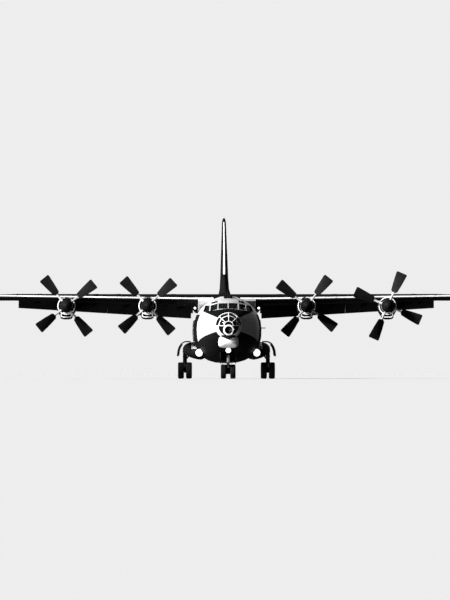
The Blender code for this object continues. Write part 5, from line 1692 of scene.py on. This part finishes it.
@dataclass
class Lamps:
    """The landing lamps, the wing root lamps, the chin lamp, and the tip, tail and warning lamps."""

    shop: Workshop
    landing: tuple[float, float, float, float] = (1.80, 4.25, 1.636, 0.235)
    wing_root: tuple[float, float, float, float] = (2.03, 10.90, 4.49, 0.075)
    chin: Point = (1.76, 1.785, 0.165)
    tip: Point = (18.74, 12.98, 5.105)
    glass: Sequence[Flat] = ((0.03, 1.0), (0.0, 1.0), (-0.02, 0.92), (-0.035, 0.6), (-0.04, 0.2))
    pod: Sequence[Flat] = ((0.0, 1.05), (0.04, 1.09), (0.25, 1.05), (0.60, 0.74), (0.95, 0.36), (1.15, 0.13))
    pod_splay: float = 0.12
    pod_crease: float = 50.0
    bulb: Sequence[Flat] = ((-0.24, 0.012), (-0.22, 0.03), (-0.14, 0.048), (0.0, 0.05), (0.16, 0.034), (0.24, 0.01))
    dome: Sequence[Flat] = ((0.012, 0.055), (0.05, 0.052), (0.08, 0.036), (0.092, 0.014))
    dome_foot: Sequence[Flat] = ((-0.02, 0.085), (0.006, 0.082), (0.018, 0.062), (0.018, 0.03))

    def disc(self, name: str, centre: Point, radius: float) -> Piece:
        """One domed lamp glass that faces forwards."""
        profile = [(place, radius * share) for place, share in self.glass]
        return dress(Sketch(name).lathe(profile, centre).done(SOFT), self.shop.finishes.lamp, Slot.GLAZING)

    def pair(self, name: str, sizes: tuple[float, float, float, float], in_pod: bool) -> list[Piece]:
        """A lamp on each side, with its ring and, for a landing lamp, the tapering pod behind it.

        Args:
            name: the lamps' name.
            sizes: their x, station, z and radius.
            in_pod: whether they have pods, which sink into the fuselage's sides.

        Returns:
            The pieces.
        """
        x, station, z, radius = sizes
        ring = [(0.04, radius), (-0.012, radius), (-0.012, radius + 0.012), (0.04, radius + 0.016)]
        made = []
        for side in Side:
            centre = (side.value * x, along(station), z)
            made.append(self.disc(f"lamp_{name}_{side.word}", centre, radius))
            bezel = Sketch(f"lamp_ring_{name}_{side.word}").lathe(ring, centre, closed=True)
            made.append(dress(bezel.done(), self.shop.finishes.wheel, Slot.GEAR))
            if in_pod:
                profile = [(place, radius * share) for place, share in self.pod]
                line = (-self.pod_splay * side.value, 1.0, 0.0)
                pod = Sketch(f"lamp_pod_{side.word}").lathe(profile, centre, line)
                made.append(dress(pod.done(self.pod_crease), self.shop.finishes.dark, Slot.DARK))
        return made

    def build(self) -> list[Piece]:
        """Builds the lamps."""
        finishes = self.shop.finishes
        station, z, radius = self.chin
        centre = (0.0, along(station), z)
        profile = [(0.0, radius + 0.006), (0.06, radius + 0.014), (0.24, radius), (0.46, radius * 0.55), (0.58, 0.03)]
        housing = Sketch("chin_lamp_housing").lathe(profile, centre).done()
        made = [self.disc("chin_lamp", centre, radius), dress(housing, finishes.dark, Slot.DARK)]
        made += self.pair("landing", self.landing, True) + self.pair("wing_root", self.wing_root, False)
        x, station, z = self.tip
        for side, glass in ((Side.PORT, finishes.red_lamp), (Side.STARBOARD, finishes.green_lamp)):
            lamp = Sketch(f"tip_lamp_{side.word}").lathe(self.bulb, (side.value * x, along(station), z), AFT, 24)
            made.append(dress(lamp.done(DOMED), glass, Slot.GLAZING))
        hull = Surface("centre_fuselage", "tail_cone")
        for name, station, start, glass in (
            ("crown_beacon", 16.2, OVER, finishes.red_lamp),
            ("belly_beacon", 8.6, UNDER, finishes.red_lamp),
            ("tail_lamp", 32.7, OVER, finishes.lamp),
        ):
            for place, outward in hull.spots([plumb(0.0, station, *start)], FAR):
                dome = Sketch(name).lathe(self.dome, place, outward, 24).done(DOMED)
                foot = Sketch(f"{name}_foot").lathe(self.dome_foot, place, outward, 24).done()
                made += [dress(dome, glass, Slot.GLAZING), dress(foot, finishes.leg, Slot.GEAR)]
        return made


@dataclass
class FuselageFittings:
    """Straps, rivets, windows, frames, aerials and root fillets on the fuselage."""

    shop: Workshop
    bands: Sequence[float] = (7.55, 10.05, 16.0, 18.60, 21.6, 24.3, 28.55, 31.0)
    tail_bands: Sequence[float] = (32.35, 32.95)
    lines: Sequence[float] = (1.75, 2.35, 2.95, 3.75, 4.35, 4.85)
    line_span: Flat = (5.4, 32.4)
    strap: Flat = (0.07, 0.007)
    strap_side: float = 0.055
    tail_strap: Flat = (0.05, 0.008)
    exit_strap: Flat = (0.05, 0.010)
    window_strap: Flat = (0.022, 0.008)
    wiper_strap: Flat = (0.022, 0.012)
    rivet: Stud = (0.13, 0.010, 0.006, 0.0045)
    portholes: Sequence[float] = (7.95, 9.05, 10.15, 16.6, 17.7, 19.4)
    porthole_height: float = 3.50
    porthole_radius: float = 0.17
    exits: Sequence[tuple[Side, float, float, float, float]] = (
        (Side.STARBOARD, 8.20, 8.80, 1.75, 3.10),
        (Side.STARBOARD, 16.85, 17.45, 2.45, 3.25),
        (Side.PORT, 16.85, 17.45, 2.45, 3.25),
    )
    windows: Sequence[Sequence[Flat]] = (
        ((0.012, 4.395), (0.012, 4.775), (0.61, 4.755), (0.645, 4.35)),
        ((0.67, 4.338), (0.645, 4.738), (1.10, 4.62), (1.15, 4.23)),
        ((1.18, 4.222), (1.14, 4.62), (1.44, 4.62), (1.582, 4.20)),
    )
    wiper: tuple[Flat, Flat] = ((0.30, 4.33), (0.36, 4.62))
    blades: Sequence[tuple[float, float, Flat, float]] = (
        (0.0, 6.6, OVER, 0.30),
        (0.0, 17.7, OVER, 0.34),
        (-0.30, 7.4, UNDER, 0.17),
        (0.30, 9.5, UNDER, 0.17),
    )
    blade_crease: float = 20.0
    probe_place: Flat = (5.55, 3.20)
    fillet_crease: float = 25.0
    fillet: Sequence[Point] = (
        (11.40, 4.88, 4.70),
        (11.75, 4.86, 4.32),
        (12.40, 4.84, 4.17),
        (13.80, 4.80, 4.17),
        (14.12, 4.78, 4.24),
    )

    @cached_property
    def hull(self) -> Surface:
        """The fuselage's surface."""
        return Surface("cockpit_section", "centre_fuselage", "rear_fuselage", "tail_cone")

    def ring(self, surface: Surface, station: float) -> list[Route]:
        """The routes round the fuselage at a station."""
        return surface.trace(fan(waist(station), 144, CLEAR))

    def rivet_routes(self) -> list[Route]:
        """The routes beside the straps and along the stringers."""
        routes = []
        for station in self.bands:
            for shift in (-self.strap_side, self.strap_side):
                routes += self.ring(self.hull, station + shift)
        stations = spread(*self.line_span, 200)
        for sign in SIGNS:
            for z in self.lines:
                routes += self.hull.trace([level(sign, station, z) for station in stations])
        return routes

    def cabin_windows(self) -> list[Piece]:
        """The round cabin windows, as one piece of rims and one of panes."""
        rims, panes, radius = Sketch("porthole_rims"), Sketch("porthole_panes"), self.porthole_radius
        rim = [(-0.02, radius), (0.008, radius), (0.016, radius + 0.012)]
        rim += [(0.012, radius + 0.05), (-0.02, radius + 0.055)]
        pane = [(-0.01, radius + 0.004), (0.002, radius), (0.008, radius * 0.6), (0.010, radius * 0.15)]
        rays = [level(side.value, station, self.porthole_height) for side in Side for station in self.portholes]
        for spot in self.hull.spots(rays):
            rims.lathe(rim, *spot, 36, closed=True)
            panes.lathe(pane, *spot, 36)
        finishes = self.shop.finishes
        return [dress(rims.done(), finishes.leg, Slot.DARK), dress(panes.done(DOMED), finishes.glass, Slot.GLAZING)]

    def exit_frames(self) -> Piece:
        """The raised frames round the emergency exits, with their handles."""
        sketch, grip, half = Sketch("exit_frames"), (0.012, 0.02), Vector((0.0, 0.09, 0.0))
        for side, first, last, low, high in self.exits:
            corners = [(first, low), (last, low), (last, high), (first, high)]
            route = self.hull.outline(corners, 8, lambda station, z: level(side.value, station, z))
            sketch.strap(route, *self.exit_strap, True)
            for place, outward in self.hull.spots([level(side.value, (first + last) / 2.0, (low + high) / 2.0)]):
                middle = outward * 0.015
                sketch.bar(place - half + middle, place + half + middle, grip, grip, UP)
        return sketch.done()

    def window_frames(self) -> Piece:
        """The frames round the flight deck's windows."""
        nose, sketch = Surface("cockpit_section"), Sketch("cockpit_window_frames")
        for sign in SIGNS:
            for corners in self.windows:
                route = nose.outline(corners, 6, lambda x, z: head_on(sign * x, z))
                sketch.strap(route, *self.window_strap, True)
        return sketch.done()

    def wipers(self) -> Piece:
        """The two windscreen wipers."""
        glass, sketch = Surface("cockpit_glass", "cockpit_section"), Sketch("windscreen_wipers")
        (foot_x, foot_z), (head_x, head_z) = self.wiper
        for sign in SIGNS:
            start, run, rise = sign * foot_x, sign * head_x - sign * foot_x, head_z - foot_z
            rays = [head_on(start + run * share, foot_z + rise * share) for share in (0.0, 0.3, 0.65, 1.0)]
            route = [(place + outward * 0.02, outward) for place, outward in glass.spots(rays)]
            sketch.strap(route, *self.wiper_strap)
        return sketch.done()

    def aerials(self) -> Piece:
        """The blade aerials on the crown and belly."""
        sketch = Sketch("blade_aerials")
        for x, station, (start, way), height in self.blades:
            for place, _ in self.hull.spots([plumb(x, station, start, way)], FAR):
                outline = ((-0.16, -0.03), (0.16, -0.03), (0.27, height), (0.11, height))
                sketch.fin((place, Vector((0.0, 0.0, -way))), outline, 0.028)
        return sketch.done(self.blade_crease)

    def probe(self) -> Piece:
        """The pressure probe on the port side."""
        sketch = Sketch("pressure_probe")
        for place, _ in self.hull.spots([level(1.0, *self.probe_place)]):
            knee = place + Vector((0.23, -0.05, 0.0))
            sketch.bar(place - Vector((0.02, 0.0, 0.0)), knee, (0.07, 0.032), (0.035, 0.024), AFT)
            profile = [(-0.30, 0.010), (-0.28, 0.020), (-0.04, 0.036), (0.06, 0.034), (0.11, 0.012)]
            sketch.lathe(profile, knee, AFT, 20)
        return sketch.done()

    def root_fillets(self) -> Piece:
        """The fillets under the wing roots, in front of the inner flaps."""
        sketch = Sketch("wing_root_fillets")
        for side in Side:
            rings = []
            for station, top, low in self.fillet:
                section = [(2.15, top), (2.30, top), (2.30, low + 0.22 * (top - low))]
                section += [(2.26, low + 0.02), (2.15, low)]
                rings.append([(side.value * x, along(station), z) for x, z in section])
            sketch.loft(rings)
        return sketch.done(self.fillet_crease)

    def build(self) -> list[Piece]:
        """Builds the fuselage's fittings."""
        finishes, skins = self.shop.finishes, self.shop.finishes.skins
        cone, straps, rings = Surface("tail_cone"), Sketch("fuselage_straps"), Sketch("tail_cone_rings")
        for station in self.bands:
            straps.straps(self.ring(self.hull, station), *self.strap)
        for station in self.tail_bands:
            rings.straps(self.ring(cone, station), *self.tail_strap)
        return [
            dress(straps.done(), finishes.body, Slot.PALE),
            self.shop.studs.row("fuselage_rivets", self.rivet_routes(), self.rivet, finishes.body, Slot.PALE),
            *self.cabin_windows(),
            dress(self.exit_frames(), finishes.leg, Slot.DARK),
            dress(self.window_frames(), skins[Zone.NOSE], Slot.COCKPIT),
            dress(self.wipers(), finishes.wheel, Slot.METAL),
            dress(self.aerials(), finishes.leg, Slot.DARK),
            dress(self.probe(), finishes.leg, Slot.METAL),
            dress(self.root_fillets(), finishes.dark, Slot.DARK),
            dress(rings.done(), skins[Zone.PALE], Slot.TAIL_CONE),
        ]


@dataclass
class WingFittings:
    """Rivets, joint straps and tank caps on one wing."""

    side: Side
    shop: Workshop
    plan: Sequence[Point] = ((2.18, 10.75, 4.72), (13.35, 12.08, 2.72), (18.60, 12.72, 1.78))
    lanes: Sequence[float] = (0.14, 0.34, 0.56)
    ribs: Sequence[float] = (3.6, 6.7, 8.6, 11.7, 13.35, 15.0, 16.8)
    caps: Sequence[float] = (3.4, 6.9, 8.3, 11.9, 14.6)
    joint: float = 13.35
    joint_strap: Flat = (0.10, 0.006)
    lane_span: tuple[float, float, int] = (2.4, 18.3, 90)
    rib_span: tuple[float, float, int] = (0.03, 0.70, 24)
    cap_share: float = 0.24
    cap_ring: float = 0.12
    below: Flat = (1.2, 1.0)
    reach: float = 7.5
    rivet: Stud = (0.15, 0.010, 0.006, 0.0045)
    cap_bolt: Stud = (0.08, 0.009, 0.007, 0.007)

    def ray(self, x: float, share: float, above: bool = True) -> Ray:
        """A ray onto the wing.

        Args:
            x: distance from the middle of the aircraft.
            share: share of the chord, from the nose.
            above: whether it comes from above.

        Returns:
            Its origin and direction.
        """
        for inner, outer in zip(self.plan, self.plan[1:]):
            if x <= outer[0]:
                break
        part = (x - inner[0]) / (outer[0] - inner[0])
        nose, chord = (inner[index] + (outer[index] - inner[index]) * part for index in (1, 2))
        return plumb(self.side.value * x, nose + chord * share, *(OVER if above else self.below))

    def build(self) -> list[Piece]:
        """Builds the wing's fittings."""
        word, finishes, studs = self.side.word, self.shop.finishes, self.shop.studs
        wing, routes, bolts = Surface(f"wing_{word}"), [], []
        straps, caps = Sketch(f"wing_straps_{word}"), Sketch(f"tank_caps_{word}")
        for above in (True, False):
            for share in self.lanes:
                routes += wing.trace([self.ray(x, share, above) for x in spread(*self.lane_span)], self.reach)
            for x in self.ribs:
                found = wing.trace([self.ray(x, share, above) for share in spread(*self.rib_span)], self.reach)
                routes += found
                if x == self.joint:
                    straps.straps(found, *self.joint_strap)
        for place, outward in wing.spots([self.ray(x, self.cap_share) for x in self.caps], self.reach):
            caps.lathe([(-0.01, 0.15), (0.004, 0.15), (0.010, 0.14), (0.010, 0.03)], place, outward, 32)
            bolts.append(circle(place + outward * 0.006, self.cap_ring, outward))
        return [
            studs.row(f"wing_rivets_{word}", routes, self.rivet, finishes.shadow, Slot.DARK),
            studs.row(f"tank_cap_bolts_{word}", bolts, self.cap_bolt, finishes.steel),
            dress(straps.done(), finishes.dark, Slot.DARK),
            dress(caps.done(), finishes.leg, Slot.DARK),
        ]


@dataclass
class FlapSeal:
    """The rubber seal on the end of an inner flap, which closes the slot to the outer flap."""

    side: Side
    shop: Workshop
    width: float = 0.025
    sunk: float = 0.006
    end_depth: float = 0.08

    def build(self) -> list[Piece]:
        """Builds the seal from the outline of the flap's end."""
        node, sign = f"flap_inner_{self.side.word}", self.side.value
        corners = corners_of(node)
        end = max(sign * corner.x for corner in corners)
        sketch = Sketch(f"flap_seal_{self.side.word}")
        for corner in corners:
            if sign * corner.x > end - self.end_depth:
                for reach in (-self.sunk, self.width):
                    sketch.mesh.verts.new((corner.x + sign * reach, corner.y, corner.z))
        bmesh.ops.remove_doubles(sketch.mesh, verts=sketch.mesh.verts, dist=MERGE)
        bmesh.ops.convex_hull(sketch.mesh, input=sketch.mesh.verts)
        return [dress(sketch.done(), self.shop.finishes.rubber, Slot.TYRE, body_of(node))]


@dataclass
class Wicks:
    """The static wicks along the hind edge of one control surface, whose span runs along this axis."""

    node: str
    axis: int
    shop: Workshop
    sizes: Stud = (0.46, 0.006, 0.002, 0.14)
    sunk: float = 0.012
    end_depth: float = 0.05
    shares: Sequence[float] = (0.12, 0.5, 0.95)
    droop: float = 0.12

    def build(self) -> list[Piece]:
        """Builds the wicks between the hindmost points at the two ends of the surface."""
        corners, ends = corners_of(self.node), []
        for end in (min, max):
            limit = end(corner[self.axis] for corner in corners)
            near = [corner for corner in corners if abs(corner[self.axis] - limit) < self.end_depth]
            ends.append(max(near, key=lambda corner: corner.y))
        back = Vector((0.0, 1.0, -self.droop)).normalized()
        route = [(ends[0].lerp(ends[1], share) - back * self.sunk, back) for share in self.shares]
        shadow, body = self.shop.finishes.shadow, body_of(self.node)
        return [self.shop.studs.row(f"{self.node}_wicks", [route], self.sizes, shadow, body=body)]


@dataclass
class TailFittings:
    """Rivets on the fin and the tailplane."""

    shop: Workshop
    fin_lines: Sequence[float] = (6.2, 7.1, 8.0, 8.9, 9.8)
    plane_lines: Sequence[float] = (1.4, 2.5, 3.6, 4.7)
    fin_edges: tuple[Point, Point] = ((6.6, 26.1, 0.726), (5.4, 29.2, 0.265))
    plane_edges: tuple[Point, Point] = ((0.93, 28.15, 0.239), (0.93, 29.9, 0.03))
    margin: float = 0.12
    rivet: Stud = (0.13, 0.009, 0.006, 0.0045)

    def build(self) -> list[Piece]:
        """Builds the rivets."""
        fin, plane, routes = Surface("fin"), Surface("tailplane"), []
        (nose, back), (plane_nose, plane_back) = self.fin_edges, self.plane_edges
        for sign in SIGNS:
            for z in self.fin_lines:
                stations = spread(sloped(nose, z) + self.margin, sloped(back, z), 30)
                routes += fin.trace([level(sign, station, z, 2.0) for station in stations], 1.99)
            for x in self.plane_lines:
                stations = spread(sloped(plane_nose, x), sloped(plane_back, x), 24)
                for start, way in ((7.0, -1.0), (3.2, 1.0)):
                    routes += plane.trace([plumb(sign * x, station, start, way) for station in stations], 2.5)
        return [self.shop.studs.row("tail_rivets", routes, self.rivet, self.shop.finishes.shadow, Slot.TAIL)]


@dataclass
class Hold:
    """The frames, rails and rings of the freight hold, and the ribs inside its doors."""

    shop: Workshop
    frames: tuple[float, float, int] = (7.4, 30.6, 40)
    rails: Sequence[float] = (-1.05, -0.35, 0.35, 1.05)
    floor: tuple[float, float, int] = (7.1, 18.4, 30)
    leaf_ribs: tuple[float, float, int] = (19.2, 25.1, 9)
    aft_ribs: tuple[float, float, int] = (25.95, 28.1, 4)
    frame_strap: Flat = (0.05, 0.045)
    rail_strap: Flat = (0.09, 0.012)
    rib_strap: Flat = (0.06, 0.04)
    ring_shift: float = 0.17
    tie_down: Stud = (0.5, 0.05, 0.035, 0.018)

    def ribs(self, name: str, shell: Surface, stations: Iterable[float], trim: int, size: Flat) -> Sketch:
        """Straps round the inside of a shell.

        Args:
            name: the piece's name.
            shell: the shell.
            stations: where they are.
            trim: how many spots are left off at both ends of a strap.
            size: their width and height.

        Returns:
            The straps as one sketch.
        """
        sketch = Sketch(name)
        for station in stations:
            routes = shell.trace(fan(waist(station), 120), 3.0)
            sketch.straps([route[trim : len(route) - trim] for route in routes], *size)
        return sketch

    def build(self) -> list[Piece]:
        """Builds the hold's fittings."""
        finishes, lining = self.shop.finishes, self.shop.finishes.lining
        shell = Surface("centre_fuselage", "rear_fuselage")
        frames = self.ribs("hold_frames", shell, spread(*self.frames), 1, self.frame_strap)
        floor, rails, lanes = Surface("freight_floor"), Sketch("floor_rails"), []
        beside = Vector((self.ring_shift, 0.0, 0.0))
        for x in self.rails:
            routes = floor.trace([plumb(x, station, 2.6) for station in spread(*self.floor)], 2.0, 1.0)
            rails.straps(routes, *self.rail_strap)
            lanes += [[(place + beside, outward) for place, outward in route] for route in routes]
        made = [
            self.shop.studs.row("tie_down_rings", lanes, self.tie_down, finishes.steel, sides=12),
            dress(frames.done(), lining, Slot.LINING),
            dress(rails.done(), finishes.steel, Slot.METAL),
        ]
        doors = [(f"freight_leaf_{side.word}", self.leaf_ribs) for side in Side]
        for node, span in (*doors, ("freight_door_aft", self.aft_ribs)):
            ribs = self.ribs(f"{node}_ribs", Surface(node), spread(*span), 3, self.rib_strap)
            made.append(dress(ribs.done(), lining, Slot.LINING, node))
        return made


@dataclass
class CrewDoor:
    """The window and handle of the crew door."""

    shop: Workshop
    window: Flat = (6.42, 2.72)
    handle: Flat = (6.66, 2.22)
    rim: Sequence[Flat] = ((-0.02, 0.13), (0.008, 0.13), (0.014, 0.14), (0.010, 0.17), (-0.02, 0.175))
    pane: Sequence[Flat] = ((-0.01, 0.134), (0.002, 0.13), (0.006, 0.08), (0.008, 0.02))
    boss: Sequence[Flat] = ((-0.01, 0.05), (0.010, 0.05), (0.014, 0.04), (0.014, 0.01))

    def build(self) -> list[Piece]:
        """Builds the door's fittings."""
        finishes, door, node, made = self.shop.finishes, Surface("crew_door"), "crew_door", []
        for spot in door.spots([level(1.0, *self.window)]):
            rim = Sketch("crew_door_window_rim").lathe(self.rim, *spot, 32, closed=True)
            pane = Sketch("crew_door_window").lathe(self.pane, *spot, 32)
            made.append(dress(rim.done(), finishes.leg, Slot.DARK, node))
            made.append(dress(pane.done(DOMED), finishes.glass, Slot.GLAZING, node))
        for place, outward in door.spots([level(1.0, *self.handle)]):
            handle = Sketch("crew_door_handle").lathe(self.boss, place, outward, 24)
            start = place + outward * 0.022 + Vector((0.0, -0.02, 0.0))
            handle.bar(start, start + Vector((0.0, -0.16, 0.0)), (0.012, 0.012), (0.016, 0.010), UP)
            made.append(dress(handle.done(), finishes.steel, Slot.METAL, node))
        return made


def write_sizes() -> None:
    boxes = {"cad": CAD_BOX, "visual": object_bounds()}
    plain = {name: [[float(value) for value in corner] for corner in box] for name, box in boxes.items()}


def main() -> None:
    """Builds the sub-assemblies in order and reports each piece."""
    logging.basicConfig(level=logging.INFO, format="%(name)s: %(message)s")
    shop = Workshop(Finishes(), StudRecipe(), SlatRecipe(), PipeRecipe())
    parts = [Studio(), Skins(shop)]
    for name, x, station in (
        ("right_outer", -10.20, 9.35),
        ("right_inner", -5.05, 8.72),
        ("left_inner", 5.05, 8.72),
        ("left_outer", 10.20, 9.35),
    ):
        parts.append(PowerPlant(name, x, station, shop))
    parts.append(TwinWheels("nose_wheels", (0.0, along(3.00), 0.45), shop, 0.45, 0.335, 0.26, 0.23, 0.045))
    parts.append(NoseGear(shop))
    for side in Side:
        gear = MainGear(side, shop)
        for place, shift in (("front", -gear.bogie_half), ("rear", gear.bogie_half)):
            centre = (gear.x, along(gear.station + shift), 0.525)
            parts.append(TwinWheels(f"main_wheels_{place}_{side.word}", centre, shop))
        parts += [gear, WingFittings(side, shop), FlapSeal(side, shop)]
        parts += [Wicks(f"{surface}_{side.word}", 0, shop) for surface in ("aileron", "elevator")]
    parts += [Wicks("rudder", 2, shop), Lamps(shop), FuselageFittings(shop), TailFittings(shop)]
    parts += [Hold(shop), CrewDoor(shop)]
    for part in parts:
        for piece in part.build():
            LOG.info("%s: %s", type(part).__name__, piece.name)
    write_sizes()


if __name__ == "__main__":
    main()
